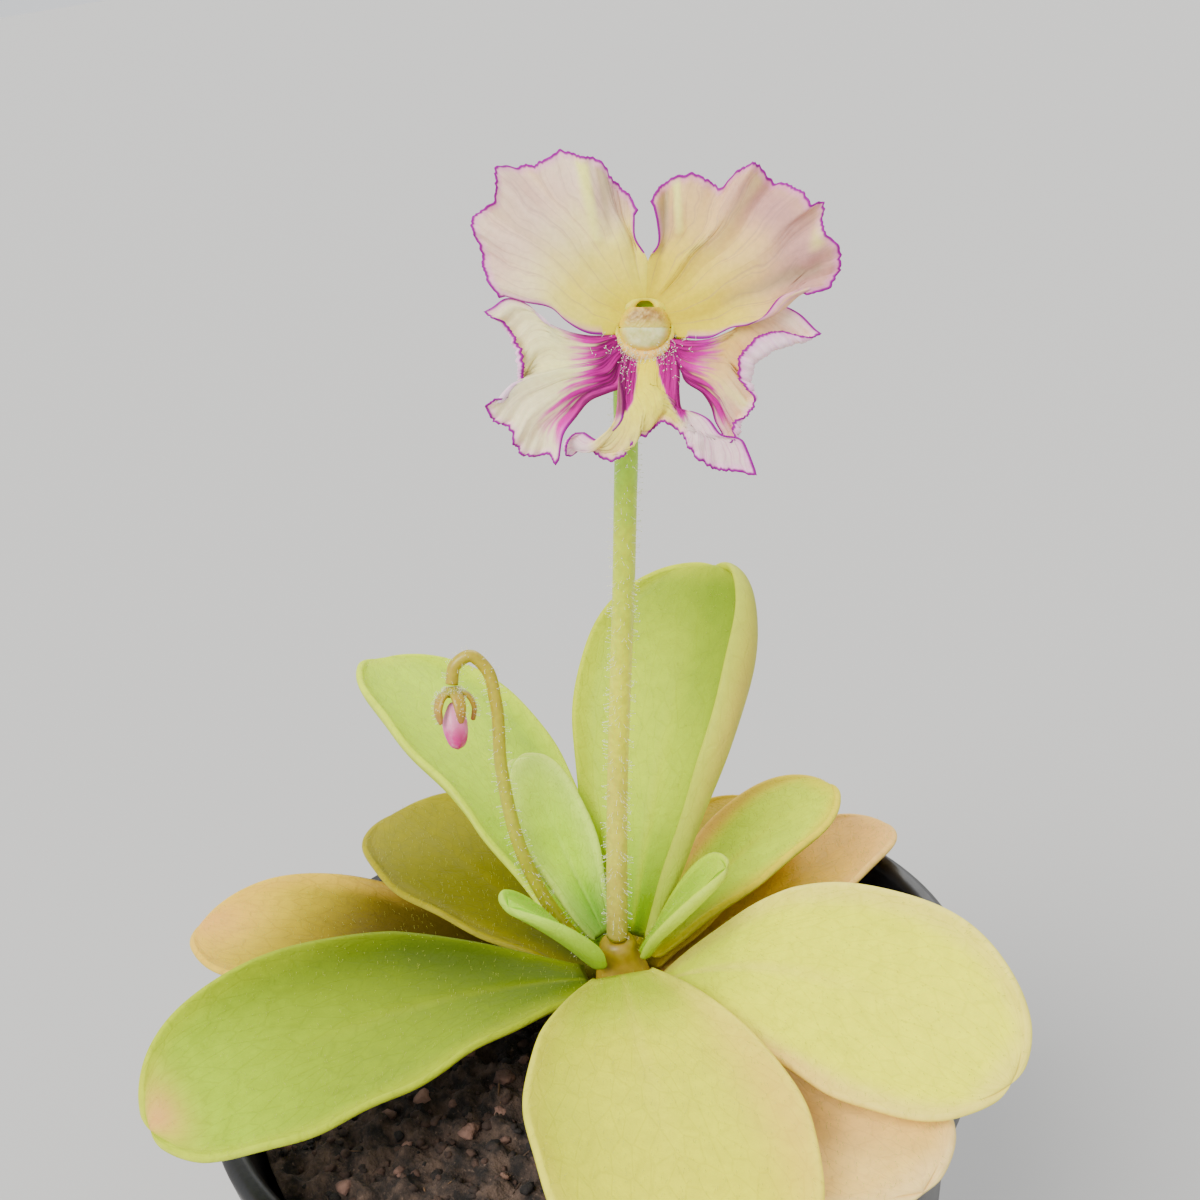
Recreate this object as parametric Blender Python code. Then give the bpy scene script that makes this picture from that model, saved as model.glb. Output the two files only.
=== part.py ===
"""A flowering butterwort (Pinguicula) rooted in a round black nursery pot.

The origin is the middle of the pot's flat base, +Z is up and the open flower faces -Y.
Lengths in this file are in millimetres, and MM turns them into Blender's metres.
"""

import math

import bmesh
import bpy
import numpy as np

MM = 0.001
CLEARANCE = 0.3

# The pot: a tapered shell with a band round its rim and drain holes in its base.
POT_HEIGHT = 70.0
POT_RIM_RADIUS = 40.0
POT_BASE_RADIUS = 28.0
POT_WALL = 1.3
POT_FLOOR = 1.6
RIM_BAND_HEIGHT = 7.0
RIM_BAND_STEP = 1.7
POT_SIDES = 48
DRAIN_HOLES = 6
DRAIN_HOLE_RADIUS = 3.5
DRAIN_HOLE_CIRCLE = 18.5

# The peat fills the pot to just under its rim, and rises a little round the crown.
SOIL_LEVEL = 64.9
SOIL_MOUND = 1.8
SOIL_MOUND_REACH = 13.0
SOIL_LUMP = 0.75
SOIL_RINGS = 15
SOIL_SIDES = 56

# The crown is the short stem that every leaf and flower stalk grows from.
CROWN_X = 4.0
CROWN_Y = -1.0
CROWN_PROFILE = (
    (0.0, 55.0),
    (1.6, 56.0),
    (2.6, 61.0),
    (3.2, 66.0),
    (3.4, 68.8),
    (3.1, 71.0),
    (2.7, 73.2),
    (2.1, 75.0),
    (1.8, 76.6),
    (1.4, 77.0),
    (0.0, 77.0),
)
CROWN_SIDES = 18
CROWN_HOLE = 3.5

# Leaves: a spoon-shaped blade on an arched midrib, with its margins rolled up.
LEAF_ROWS = 11
LEAF_COLUMNS = 8
LEAF_THICKNESS = 1.3
LEAF_EDGE_THICKNESS = 0.75
LEAF_ROOT_THICKNESS = 1.5
LEAF_ROOT_WIDTH = 0.11
LEAF_TIP_CROWDING = 1.7
LEAF_CUP = 14.0
MARGIN_START = (0.7, 0.7)

# The flower: where it is, where it faces, and the size of its tube.
FLOWER_CENTRE = (13.7, -20.5, 144.4)
FLOWER_AZIMUTH = -96.6
FLOWER_ELEVATION = 13.7
FLOWER_LEAN = -8.6
PETAL_THICKNESS = 0.6
SEPAL_THICKNESS = 0.6
PETAL_ROWS = 6
PETAL_COLUMNS = 16
ROLL_STEPS = 3
ROLL_RADIUS = 0.45
FULL_FOLD = 0.55
MARGIN_DEPTH = 0.5


def clear_scene():
    for thing in list(bpy.data.objects):
        bpy.data.objects.remove(thing, do_unlink=True)


def material(name, colour, roughness, metallic=0.0):
    made = bpy.data.materials.new(name)
    made.use_nodes = True
    shader = made.node_tree.nodes["Principled BSDF"]
    shader.inputs["Base Color"].default_value = (*colour, 1.0)
    shader.inputs["Roughness"].default_value = roughness
    shader.inputs["Metallic"].default_value = metallic
    return made


def mesh_object(name, points, faces, finish):
    """One named object from points in millimetres."""
    mesh = bpy.data.meshes.new(name)
    mesh.from_pydata([tuple(float(c) * MM for c in p) for p in points], [], faces)
    work = bmesh.new()
    work.from_mesh(mesh)
    bmesh.ops.recalc_face_normals(work, faces=work.faces)
    bmesh.ops.triangulate(work, faces=work.faces, quad_method="FIXED")
    work.to_mesh(mesh)
    work.free()
    mesh.shade_smooth()
    mesh.set_sharp_from_angle(angle=math.radians(50))
    made = bpy.data.objects.new(name, mesh)
    made.data.materials.append(finish)
    bpy.context.scene.collection.objects.link(made)
    return made


def spline(points, count):
    """Count points along a smooth curve through the given points, evenly by chord length."""
    points = np.array(points, float)
    steps = np.linalg.norm(np.diff(points[:, :2], axis=0), axis=1) + 1e-6
    if points.shape[1] == 3:
        steps = np.linalg.norm(np.diff(points, axis=0), axis=1) + 1e-6
    at = np.concatenate([[0.0], np.cumsum(steps)])
    slopes = np.gradient(points, at, axis=0)
    where = np.linspace(0.0, at[-1], count)
    cell = np.clip(np.searchsorted(at, where, side="right") - 1, 0, len(at) - 2)
    span = (at[cell + 1] - at[cell])[:, None]
    t = (where[:, None] - at[cell][:, None]) / span
    start = (2 * t**3 - 3 * t**2 + 1) * points[cell] + (t**3 - 2 * t**2 + t) * span * slopes[cell]
    end = (3 * t**2 - 2 * t**3) * points[cell + 1] + (t**3 - t**2) * span * slopes[cell + 1]
    return start + end


def thick_sheet(middle, normals, thickness, tip=None):
    """Points and faces of a closed blade round a grid of middle points.

    Both faces are split into triangles in the same way. A tip is one more middle point, with its
    normal and thickness, that closes the last row.
    """
    rows, columns = middle.shape[:2]
    offset = normals * (thickness / 2)[..., None]
    points = np.concatenate([(middle + offset).reshape(-1, 3), (middle - offset).reshape(-1, 3)])
    under = rows * columns
    faces = []
    for i in range(rows - 1):
        for j in range(columns - 1):
            a = i * columns + j
            b = a + columns
            faces += [(a, b, b + 1), (a, b + 1, a + 1)]
            faces += [(under + a, under + b + 1, under + b), (under + a, under + a + 1, under + b + 1)]
    edge = [i * columns for i in range(rows - 1, 0, -1)]
    edge += list(range(columns))
    edge += [i * columns + columns - 1 for i in range(1, rows)]
    last = [(rows - 1) * columns + j for j in range(columns)]
    if tip is None:
        edge += last[-2:0:-1]
        edge.append(edge[0])
    for a, b in zip(edge, edge[1:]):
        faces += [(a, b, under + b), (a, under + b, under + a)]
    if tip is not None:
        point, normal, depth = tip
        top = len(points)
        points = np.concatenate([points, [point + normal * depth / 2, point - normal * depth / 2]])
        for a, b in zip(last, last[1:]):
            faces += [(a, top, b), (under + a, under + b, top + 1)]
        for corner in (last[0], last[-1]):
            faces += [(corner, top, top + 1), (corner, top + 1, under + corner)]
    return points, faces


def grid_normals(middle):
    along = np.gradient(middle, axis=0)
    across = np.gradient(middle, axis=1)
    normals = np.cross(along, across)
    return normals / (np.linalg.norm(normals, axis=2, keepdims=True) + 1e-12)


def tube(path, radii, sides):
    """Points and faces of a closed round tube along a path."""
    path = np.array(path, float)
    tangents = np.gradient(path, axis=0)
    tangents /= np.linalg.norm(tangents, axis=1)[:, None]
    side = np.cross(tangents[0], (0.0, 1.0, 0.3))
    points = []
    for centre, tangent, radius in zip(path, tangents, radii):
        side = side - tangent * np.dot(side, tangent)
        side /= np.linalg.norm(side)
        other = np.cross(tangent, side)
        for k in range(sides):
            angle = 2 * math.pi * k / sides
            points.append(centre + radius * (math.cos(angle) * side + math.sin(angle) * other))
    faces = [tuple(range(sides))[::-1]]
    for i in range(len(path) - 1):
        for k in range(sides):
            a = i * sides + k
            b = i * sides + (k + 1) % sides
            faces.append((a, b, b + sides, a + sides))
    faces.append(tuple(range((len(path) - 1) * sides, len(path) * sides)))
    return points, faces


def turned(profile, sides, centre=(0.0, 0.0)):
    """Points and faces of a profile of (radius, height) turned about a vertical axis."""
    points = []
    rings = []
    for radius, height in profile:
        if radius == 0.0:
            rings.append([len(points)] * sides)
            points.append((centre[0], centre[1], height))
            continue
        rings.append(list(range(len(points), len(points) + sides)))
        for k in range(sides):
            angle = 2 * math.pi * k / sides
            x = centre[0] + radius * math.cos(angle)
            y = centre[1] + radius * math.sin(angle)
            points.append((x, y, height))
    faces = []
    for low, high in zip(rings, rings[1:]):
        for k in range(sides):
            corner = (low[k], low[(k + 1) % sides], high[(k + 1) % sides], high[k])
            face = tuple(dict.fromkeys(corner))
            faces.append(face)
    return points, faces


# Pot and soil


def pot_radius(height):
    """Outer radius of the pot's wall below its rim band."""
    top = POT_RIM_RADIUS - RIM_BAND_STEP
    return POT_BASE_RADIUS + (top - POT_BASE_RADIUS) * height / POT_HEIGHT


def pot():
    band = POT_HEIGHT - RIM_BAND_HEIGHT
    lip = POT_RIM_RADIUS - RIM_BAND_STEP - POT_WALL + 0.4
    profile = (
        (0.0, 0.0),
        (POT_BASE_RADIUS - 0.8, 0.0),
        (pot_radius(0.8), 0.8),
        (pot_radius(band - 1.0), band - 1.0),
        (POT_RIM_RADIUS - 0.9, band),
        (POT_RIM_RADIUS, POT_HEIGHT - 0.7),
        (POT_RIM_RADIUS - 0.7, POT_HEIGHT),
        (lip + 0.6, POT_HEIGHT),
        (lip, POT_HEIGHT - 0.6),
        (pot_radius(band) - POT_WALL, band - 2.0),
        (pot_radius(POT_FLOOR) - POT_WALL, POT_FLOOR),
        (0.0, POT_FLOOR),
    )
    black = material("pot_plastic", (0.012, 0.012, 0.013), 0.42)
    body = mesh_object("pot", *turned(profile, POT_SIDES), black)
    cut_drain_holes(body)


def cut_drain_holes(body):
    work = bmesh.new()
    for k in range(DRAIN_HOLES):
        angle = 2 * math.pi * (k + 0.5) / DRAIN_HOLES
        made = bmesh.ops.create_cone(
            work,
            cap_ends=True,
            segments=14,
            radius1=DRAIN_HOLE_RADIUS * MM,
            radius2=DRAIN_HOLE_RADIUS * MM,
            depth=4 * POT_FLOOR * MM,
        )
        place = (DRAIN_HOLE_CIRCLE * MM * math.cos(angle), DRAIN_HOLE_CIRCLE * MM * math.sin(angle), 0.0)
        bmesh.ops.translate(work, verts=made["verts"], vec=place)
    mesh = bpy.data.meshes.new("drain_cutters")
    work.to_mesh(mesh)
    work.free()
    cutters = bpy.data.objects.new("drain_cutters", mesh)
    cutters.hide_render = True
    cutters.display_type = "WIRE"
    bpy.context.scene.collection.objects.link(cutters)
    cut = body.modifiers.new("drain holes", "BOOLEAN")
    cut.operation = "DIFFERENCE"
    cut.object = cutters


def soil_height(x, y):
    """Height of the peat's surface: level, mounded at the crown, with lumps of grit."""
    reach = ((x - CROWN_X) ** 2 + (y - CROWN_Y) ** 2) / SOIL_MOUND_REACH**2
    lumps = math.sin(0.95 * x + 0.6 * y) * math.sin(0.85 * y - 0.45 * x)
    lumps += 0.6 * math.sin(1.7 * x - 1.1) * math.cos(1.5 * y)
    return SOIL_LEVEL + SOIL_MOUND * math.exp(-reach) + SOIL_LUMP * lumps


def soil():
    """Peat with a plain hole in its top for the crown's root."""
    rings = []
    points = []

    def ring(radius_at, height_at):
        rings.append(list(range(len(points), len(points) + SOIL_SIDES)))
        for k in range(SOIL_SIDES):
            angle = 2 * math.pi * k / SOIL_SIDES
            x, y = radius_at(angle)
            points.append((x, y, height_at(x, y)))

    def circle(radius, blend):
        """From a circle round the pot's axis (blend 1) to one round the crown (blend 0)."""
        return lambda angle: (
            radius * math.cos(angle) + (1 - blend) * CROWN_X,
            radius * math.sin(angle) + (1 - blend) * CROWN_Y,
        )

    hole = CROWN_HOLE + CLEARANCE
    hole_floor = CROWN_PROFILE[0][1] - CLEARANCE
    wall_top = pot_radius(SOIL_LEVEL - 2.0) - POT_WALL - CLEARANCE
    bottom = POT_FLOOR + CLEARANCE
    wall_bottom = pot_radius(bottom) - POT_WALL - CLEARANCE
    ring(circle(hole, 0.0), lambda x, y: hole_floor)
    ring(circle(hole, 0.0), soil_height)
    for i in range(1, SOIL_RINGS + 1):
        share = i / SOIL_RINGS
        ring(circle(hole + (wall_top - hole) * share, share), soil_height)
    ring(circle(wall_bottom, 1.0), lambda x, y: bottom)
    faces = [tuple(rings[0])]
    for low, high in zip(rings, rings[1:]):
        for k in range(SOIL_SIDES):
            nxt = (k + 1) % SOIL_SIDES
            faces.append((low[k], low[nxt], high[nxt], high[k]))
    faces.append(tuple(rings[-1]))
    peat = material("peat", (0.045, 0.028, 0.02), 0.95)
    mesh_object("soil", points, faces, peat)


def crown():
    base_green = material("crown_green", (0.33, 0.26, 0.12), 0.5)
    mesh_object("crown", *turned(CROWN_PROFILE, CROWN_SIDES, (CROWN_X, CROWN_Y)), base_green)


# Leaves

# Each leaf: the height and distance from the crown's axis at which it grows, the compass angle of
# its midrib at the root and how far that turns, its slope at the root and at the tip, its length
# and width, its roll to the left, how far each margin rolls up (left, right), and how far out the
# blade is widest. Hems say from which share of the half width each margin starts to roll.
LEAVES = {
    "leaf_left": dict(
        root=(72.4, 3.5), azimuth=191, turn=15, slopes=(20, -9), size=(46.0, 22.5),
        roll=-18, margins=(40, 40), fullness=1.2, colour="fresh",
    ),
    "leaf_near": dict(
        root=(74.3, 3.2), azimuth=-92, turn=10, slopes=(15, -19), size=(43.5, 25.5),
        roll=-10, margins=(35, 35), fullness=1.05, colour="pale",
    ),
    "leaf_right": dict(
        root=(71.2, 3.6), azimuth=-37, turn=-17, slopes=(36, -24), size=(42.0, 20.5),
        roll=34, margins=(35, 35), fullness=1.2, colour="pale",
    ),
    "leaf_old_right": dict(
        root=(69.4, 3.9), azimuth=-60, turn=-1, slopes=(3.5, 2.0), size=(38.0, 20.5),
        roll=0, margins=(20, 20), fullness=1.3, colour="peach",
    ),
    "leaf_old_left": dict(
        root=(69.3, 3.9), azimuth=152, turn=0, slopes=(7, 2), size=(49.0, 20.0),
        roll=-3, margins=(35, 35), fullness=1.3, colour="peach",
    ),
    "leaf_olive": dict(
        root=(70.9, 3.6), azimuth=125, turn=-1, slopes=(13, 9), size=(37.0, 19.5),
        roll=0, margins=(35, 35), fullness=1.3, colour="olive",
    ),
    "leaf_back_left": dict(
        root=(73.5, 3.2), azimuth=112, turn=14, slopes=(38, 20), size=(46.5, 21.5),
        roll=20, margins=(55, 55), fullness=1.3, colour="fresh",
    ),
    "leaf_tall": dict(
        root=(75.2, 3.1), azimuth=50, turn=2, slopes=(62, 38), size=(41.0, 24.5),
        roll=0, margins=(45, 165), hems=(0.7, 0.55), fullness=1.2, colour="fresh",
    ),
    "leaf_back_right": dict(
        root=(73.2, 3.3), azimuth=32, turn=-2, slopes=(19, 10), size=(29.0, 13.5),
        roll=0, margins=(50, 50), fullness=1.2, colour="fresh",
    ),
    "leaf_back_low": dict(
        root=(71.0, 3.6), azimuth=51, turn=-1, slopes=(9, 4), size=(29.5, 15.5),
        roll=0, margins=(35, 35), fullness=1.3, colour="olive",
    ),
    "leaf_old_back_right": dict(
        root=(69.3, 3.9), azimuth=30, turn=1, slopes=(5, 3), size=(35.0, 13.5),
        roll=0, margins=(40, 40), fullness=1.3, colour="peach",
    ),
    "leaf_old_back": dict(
        root=(69.0, 4.4), azimuth=87, turn=0, slopes=(7, 3), size=(34.0, 16.5),
        roll=0, margins=(35, 35), fullness=1.5, colour="olive",
    ),
    "leaf_inner_back": dict(
        root=(76.0, 2.8), azimuth=121, turn=-2, slopes=(62, 57), size=(20.5, 9.3),
        roll=0, margins=(80, 80), fullness=1.1, colour="mint",
    ),
    "leaf_inner_left": dict(
        root=(75.6, 2.9), azimuth=214, turn=-8, slopes=(60, 46), size=(14.5, 9.8),
        roll=0, margins=(70, 70), fullness=1.0, colour="young",
    ),
    "leaf_inner_right": dict(
        root=(75.5, 2.9), azimuth=-26, turn=6, slopes=(56, 38), size=(14.5, 9.0),
        roll=0, margins=(80, 80), fullness=1.1, colour="young",
    ),
}
LEAF_COLOURS = {
    "fresh": (0.34, 0.50, 0.05),
    "pale": (0.60, 0.66, 0.17),
    "peach": (0.72, 0.50, 0.32),
    "olive": (0.33, 0.33, 0.08),
    "mint": (0.45, 0.66, 0.27),
    "young": (0.36, 0.52, 0.04),
}


def leaf_width(along, width, fullness):
    """Half width of a spoon-shaped blade at each share of its length."""

    def outline(share):
        return np.sqrt(1 - share) * (LEAF_ROOT_WIDTH + share**fullness)

    return 0.5 * width * outline(along) / outline(np.linspace(0.0, 1.0, 200)).max()


def leaf_surface(leaf, rows, columns):
    """Middle points, normals and thickness of a leaf, with the point at its tip."""
    along = 1 - (1 - np.linspace(0.0, 1.0, rows + 1)) ** LEAF_TIP_CROWDING
    height, distance = leaf["root"]
    start, end = leaf["slopes"]
    length, width = leaf["size"]
    root_angle = math.radians(leaf["azimuth"])
    slope = np.radians(start + (end - start) * along)
    heading = root_angle + math.radians(leaf["turn"]) * along
    tangent = np.stack([np.cos(slope) * np.cos(heading), np.cos(slope) * np.sin(heading), np.sin(slope)], 1)
    rib = np.zeros((rows + 1, 3))
    rib[0] = (CROWN_X + distance * math.cos(root_angle), CROWN_Y + distance * math.sin(root_angle), height)
    for i in range(1, rows + 1):
        rib[i] = rib[i - 1] + (tangent[i] + tangent[i - 1]) * 0.5 * (along[i] - along[i - 1]) * length
    left = np.stack([-np.sin(heading), np.cos(heading), np.zeros(rows + 1)], 1)
    up = np.cross(tangent, left)
    roll = np.radians(leaf["roll"]) * np.minimum(1.0, along / 0.4)[:, None]
    side = left * np.cos(roll) + up * np.sin(roll)
    top = np.cross(tangent, side)
    half = leaf_width(along, width, leaf["fullness"])[:rows]
    across = np.linspace(-1.0, 1.0, columns + 1)
    sideways, upward = margin_section(across, leaf["margins"], leaf.get("hems", MARGIN_START))
    middle = rib[:rows, None] - side[:rows, None] * (half[:, None] * sideways)[..., None]
    middle = middle + top[:rows, None] * (half[:, None] * upward)[..., None]
    normals = -grid_normals(middle)
    rise = np.minimum(1.0, along[:rows] / 0.25)
    centre = LEAF_ROOT_THICKNESS + (LEAF_THICKNESS - LEAF_ROOT_THICKNESS) * rise
    thickness = centre[:, None] + (LEAF_EDGE_THICKNESS - centre[:, None]) * across[None] ** 2
    tip = (rib[rows], top[rows], LEAF_EDGE_THICKNESS)
    return middle, normals, thickness, tip


def margin_section(across, margins, hems):
    """Sideways and upward place of each point of a cross-section, for a half width of one."""
    sideways = np.zeros(len(across))
    upward = np.zeros(len(across))
    for sign, curl, hem in zip((-1.0, 1.0), margins, hems):
        fine = np.linspace(0.0, 1.0, 60)
        margin = np.clip((fine - hem) / (1 - hem), 0.0, 1.0)
        angle = math.radians(LEAF_CUP) * fine + math.radians(curl) * margin
        step = fine[1] - fine[0]
        out = np.concatenate([[0.0], np.cumsum(np.cos(angle[:-1]) * step)])
        rise = np.concatenate([[0.0], np.cumsum(np.sin(angle[:-1]) * step)])
        on_side = across * sign >= 0
        sideways[on_side] = sign * np.interp(np.abs(across[on_side]), fine, out)
        upward[on_side] = np.interp(np.abs(across[on_side]), fine, rise)
    return sideways, upward


def leaves():
    finishes = {name: material("leaf_" + name, colour, 0.35) for name, colour in LEAF_COLOURS.items()}
    for name, leaf in LEAVES.items():
        middle, normals, thickness, tip = leaf_surface(leaf, LEAF_ROWS, LEAF_COLUMNS)
        points, faces = thick_sheet(middle, normals, thickness, tip)
        mesh_object(name, points, faces, finishes[leaf["colour"]])


# The open flower

# Petal outlines in the flower's own plane, in millimetres from the throat's middle: u to the right
# and v up as the flower is seen from in front. A rim point's third number is how far the petal's
# margin folds back over its face there.
PETALS = {
    "upper_left": dict(
        left=((-2.3, -0.7), (-4.5, -0.6), (-6.1, 0.2), (-7.2, 1.1), (-9.5, 1.6), (-11.0, 2.0)),
        rim=(
            (-11.0, 2.0, 0.0), (-11.8, 3.2, 0.0), (-12.3, 4.4, 0.1), (-12.5, 5.9, 0.2), (-13.1, 7.4, 0.1),
            (-12.8, 8.3, 0.0), (-11.6, 9.0, 0.2), (-11.1, 10.3, 0.3), (-11.1, 11.6, 0.1), (-9.4, 11.8, 0.0),
            (-7.9, 12.0, 0.0), (-6.4, 12.8, 0.0), (-5.1, 12.6, 0.0), (-3.4, 12.1, 0.0), (-2.3, 10.7, 0.0),
            (-1.2, 9.7, 0.0), (-0.5, 8.5, 0.0),
        ),
        right=((0.1, 1.9), (0.2, 3.6), (0.2, 5.0), (-0.5, 6.7), (-0.5, 8.5)),
        rise=0.6, bow=0.5, ruffle=(5.0, 0.45, 0.6), pleats=(3.0, 0.35, 0.2), base=(-0.9, 1.4),
    ),
    "upper_right": dict(
        left=((0.1, 1.9), (0.1, 3.6), (0.2, 5.0), (0.7, 6.0), (0.6, 7.9), (0.3, 9.1)),
        rim=(
            (0.3, 9.1, 0.0), (1.0, 10.2, 0.0), (2.7, 11.1, 0.2), (4.1, 11.0, 0.0), (5.6, 10.2, 0.0),
            (6.6, 11.2, 0.2), (8.0, 11.9, 0.0), (9.3, 10.7, 0.2), (10.6, 10.4, 0.0), (11.6, 9.8, 0.0),
            (12.4, 8.9, 0.1), (13.0, 9.1, 0.0), (13.3, 7.1, 0.0), (14.4, 5.8, 0.0), (14.7, 4.8, 0.0),
            (14.4, 3.6, 0.0), (13.7, 2.7, 0.0), (12.0, 2.2, 0.2),
        ),
        right=((2.4, -0.9), (5.2, -1.0), (6.6, -0.4), (7.9, -0.2), (9.1, 0.3), (10.5, 1.7), (12.0, 2.2)),
        rise=0.9, bow=0.5, ruffle=(5.0, 0.45, 2.4), pleats=(3.0, 0.3, 1.9), base=(0.9, 1.4),
    ),
    "lower_left": dict(
        left=((-2.3, -0.7), (-4.5, -0.8), (-6.4, -0.5), (-8.1, 0.2), (-9.4, 1.3), (-11.1, 1.7), (-12.2, 1.0)),
        rim=(
            (-12.2, 1.0, 0.3), (-10.9, 0.2, 0.6), (-10.0, -1.3, 0.7), (-9.6, -2.7, 0.8), (-9.8, -4.2, 0.7),
            (-10.8, -5.4, 0.5), (-11.8, -5.7, 0.3), (-12.1, -6.4, 0.1), (-11.6, -7.2, 0.0),
            (-10.5, -7.7, 0.2), (-10.0, -9.0, 0.1), (-9.4, -9.9, 0.0), (-8.4, -10.0, 0.0),
            (-7.4, -9.9, 0.1), (-6.8, -10.6, 0.0),
        ),
        right=(
            (-1.4, -2.0), (-1.7, -3.5), (-1.9, -4.8), (-2.8, -5.2), (-4.3, -5.9), (-5.4, -7.2),
            (-6.3, -8.4), (-6.8, -10.6),
        ),
        rise=0.3, bow=0.4, ruffle=(4.0, 0.35, 1.0), pleats=(2.0, 0.25, 0.4), base=(-1.2, -1.0),
    ),
    "lower_right": dict(
        left=((2.6, -2.0), (2.8, -3.1), (3.0, -4.2), (4.5, -5.5), (5.1, -6.5), (5.5, -7.8), (6.0, -8.7)),
        rim=(
            (6.0, -8.7, 0.1), (7.2, -8.7, 0.9), (7.3, -7.8, 1.0), (7.6, -6.9, 0.5), (8.3, -6.2, 0.3),
            (8.5, -5.5, 0.6), (8.1, -4.0, 1.2), (8.5, -2.7, 1.5), (9.6, -1.9, 1.7), (11.1, -1.4, 1.6),
            (12.6, -1.0, 0.6), (13.4, -0.6, 0.0),
        ),
        right=((2.5, -1.2), (5.3, -1.2), (7.9, -0.6), (9.6, 0.4), (10.8, 1.2), (11.8, 0.8), (13.4, -0.6)),
        rise=-0.1, bow=0.5, ruffle=(3.0, 0.25, 2.0), pleats=(1.5, 0.2, 1.2), base=(1.2, -1.0),
    ),
    "lower_middle": dict(
        left=(
            (-1.6, -1.6), (-1.9, -3.8), (-1.8, -5.6), (-2.0, -6.9), (-3.0, -8.0), (-4.0, -8.6),
            (-5.3, -8.0),
        ),
        rim=(
            (-5.3, -8.0, 0.2), (-6.1, -8.9, 0.7), (-5.9, -9.8, 0.4), (-4.3, -9.4, 0.0), (-3.3, -10.0, 0.0),
            (-2.6, -10.3, 0.0), (-1.5, -9.8, 0.0), (-0.6, -8.6, 0.1), (0.3, -8.2, 0.0), (1.3, -7.4, 0.3),
            (2.4, -7.8, 0.0), (3.7, -9.7, 0.0), (4.8, -10.6, 0.0), (7.0, -11.1, 0.0), (8.6, -11.3, 0.0),
        ),
        right=(
            (2.4, -1.6), (2.7, -3.7), (2.7, -5.2), (3.0, -6.5), (3.9, -6.7), (4.9, -7.2),
            (6.0, -8.5), (7.6, -9.0), (8.0, -9.8), (8.6, -11.3),
        ),
        rise=0.7, bow=0.7, ruffle=(3.0, 0.35, 0.5), pleats=(1.0, 0.0, 0.0), base=(0.3, -1.2),
    ),
}
TUBE_PATH = (
    (0.0, -0.1, -0.2),
    (0.0, -0.2, -2.5),
    (0.0, -0.9, -4.6),
    (0.0, -2.9, -6.2),
    (0.0, -6.0, -6.9),
    (0.0, -9.0, -7.0),
)
TUBE_RADII = (2.5, 2.3, 1.9, 1.15, 0.85, 0.6)
TUBE_SIDES = 14
TUBE_BORE = ((0.0, -0.1, 1.2), (0.0, -0.2, -1.0), (0.0, -0.3, -2.8))
TUBE_BORE_RADII = (2.0, 1.9, 1.4)


# The calyx behind the tube, in the flower's frame: its hub's height and where each sepal ends.
HUB_V = 0.6
SEPAL_WIDTH = 1.7
SEPAL_COURSE = ((0.3, -7.6), (0.8, -6.7), (1.0, -4.9), (1.05, -3.3))
SEPAL_SPREAD = ((0.0, 3.0), (-2.5, 2.0), (2.5, 2.0), (-2.9, -1.1), (2.9, -1.1))

# The stalk: its lower stretch in the part's frame, and its bent top in the flower's frame.
SCAPE_FOOT = (
    (4.1, -1.4, 77.6),
    (6.4, -3.7, 95.0),
    (8.1, -6.4, 107.0),
    (9.7, -9.0, 118.0),
    (11.0, -11.0, 127.5),
)
SCAPE_TOP = ((-1.5, -9.4, -10.6), (-1.6, -5.0, -10.4), (-1.1, -1.6, -10.8), (-0.2, 0.2, -9.7))
SCAPE_RADII = (1.1, 1.05, 1.0, 1.0, 1.0, 1.0, 0.95)

# Radius and height of the bodies in the throat, before they are stretched sideways.
BULB_PROFILE = (
    (0.0, -2.3),
    (0.3, -2.3),
    (0.3, -0.9),
    (0.75, -0.6),
    (1.0, 0.0),
    (0.9, 0.5),
    (0.5, 0.85),
    (0.0, 0.95),
)

# The bud: the path of its stalk, the way that it hangs, and its sepals and petals along that way.
BUD_STALK = (
    (0.7, 0.2, 75.2), (-1.5, 0.9, 79.5), (-3.8, 2.0, 87.0), (-4.3, 4.6, 96.0), (-3.6, 6.6, 102.8),
    (-3.9, 7.6, 105.8), (-5.3, 8.0, 107.4), (-6.9, 7.8, 106.8), (-7.6, 7.4, 105.0),
)
BUD_AXIS = (-0.1, -0.35, -1.0)
BUD_SEPAL = ((0.5, 0.4), (1.5, 0.9), (2.05, 2.2), (1.75, 3.6))
BUD_PROFILE = ((0.0, 1.5), (0.35, 1.6), (0.9, 2.5), (1.25, 3.7), (1.1, 5.0), (0.6, 6.1), (0.0, 6.4))


def flower_axes():
    """The flower's right, its up, and the way that it faces, in the part's frame."""
    azimuth = math.radians(FLOWER_AZIMUTH)
    elevation = math.radians(FLOWER_ELEVATION)
    lean = math.radians(FLOWER_LEAN)
    level = math.cos(elevation)
    out = np.array((level * math.cos(azimuth), level * math.sin(azimuth), math.sin(elevation)))
    across = np.cross((0.0, 0.0, 1.0), out)
    across /= np.linalg.norm(across)
    above = np.cross(out, across)
    right = across * math.cos(lean) + above * math.sin(lean)
    up = above * math.cos(lean) - across * math.sin(lean)
    return right, up, out


def from_flower(points):
    """Points given as (u, v, w) in the flower's own frame, in the part's frame."""
    right, up, out = flower_axes()
    points = np.asarray(points, float)
    moved = points[..., :1] * right + points[..., 1:2] * up + points[..., 2:3] * out
    return moved + np.array(FLOWER_CENTRE)


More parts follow.
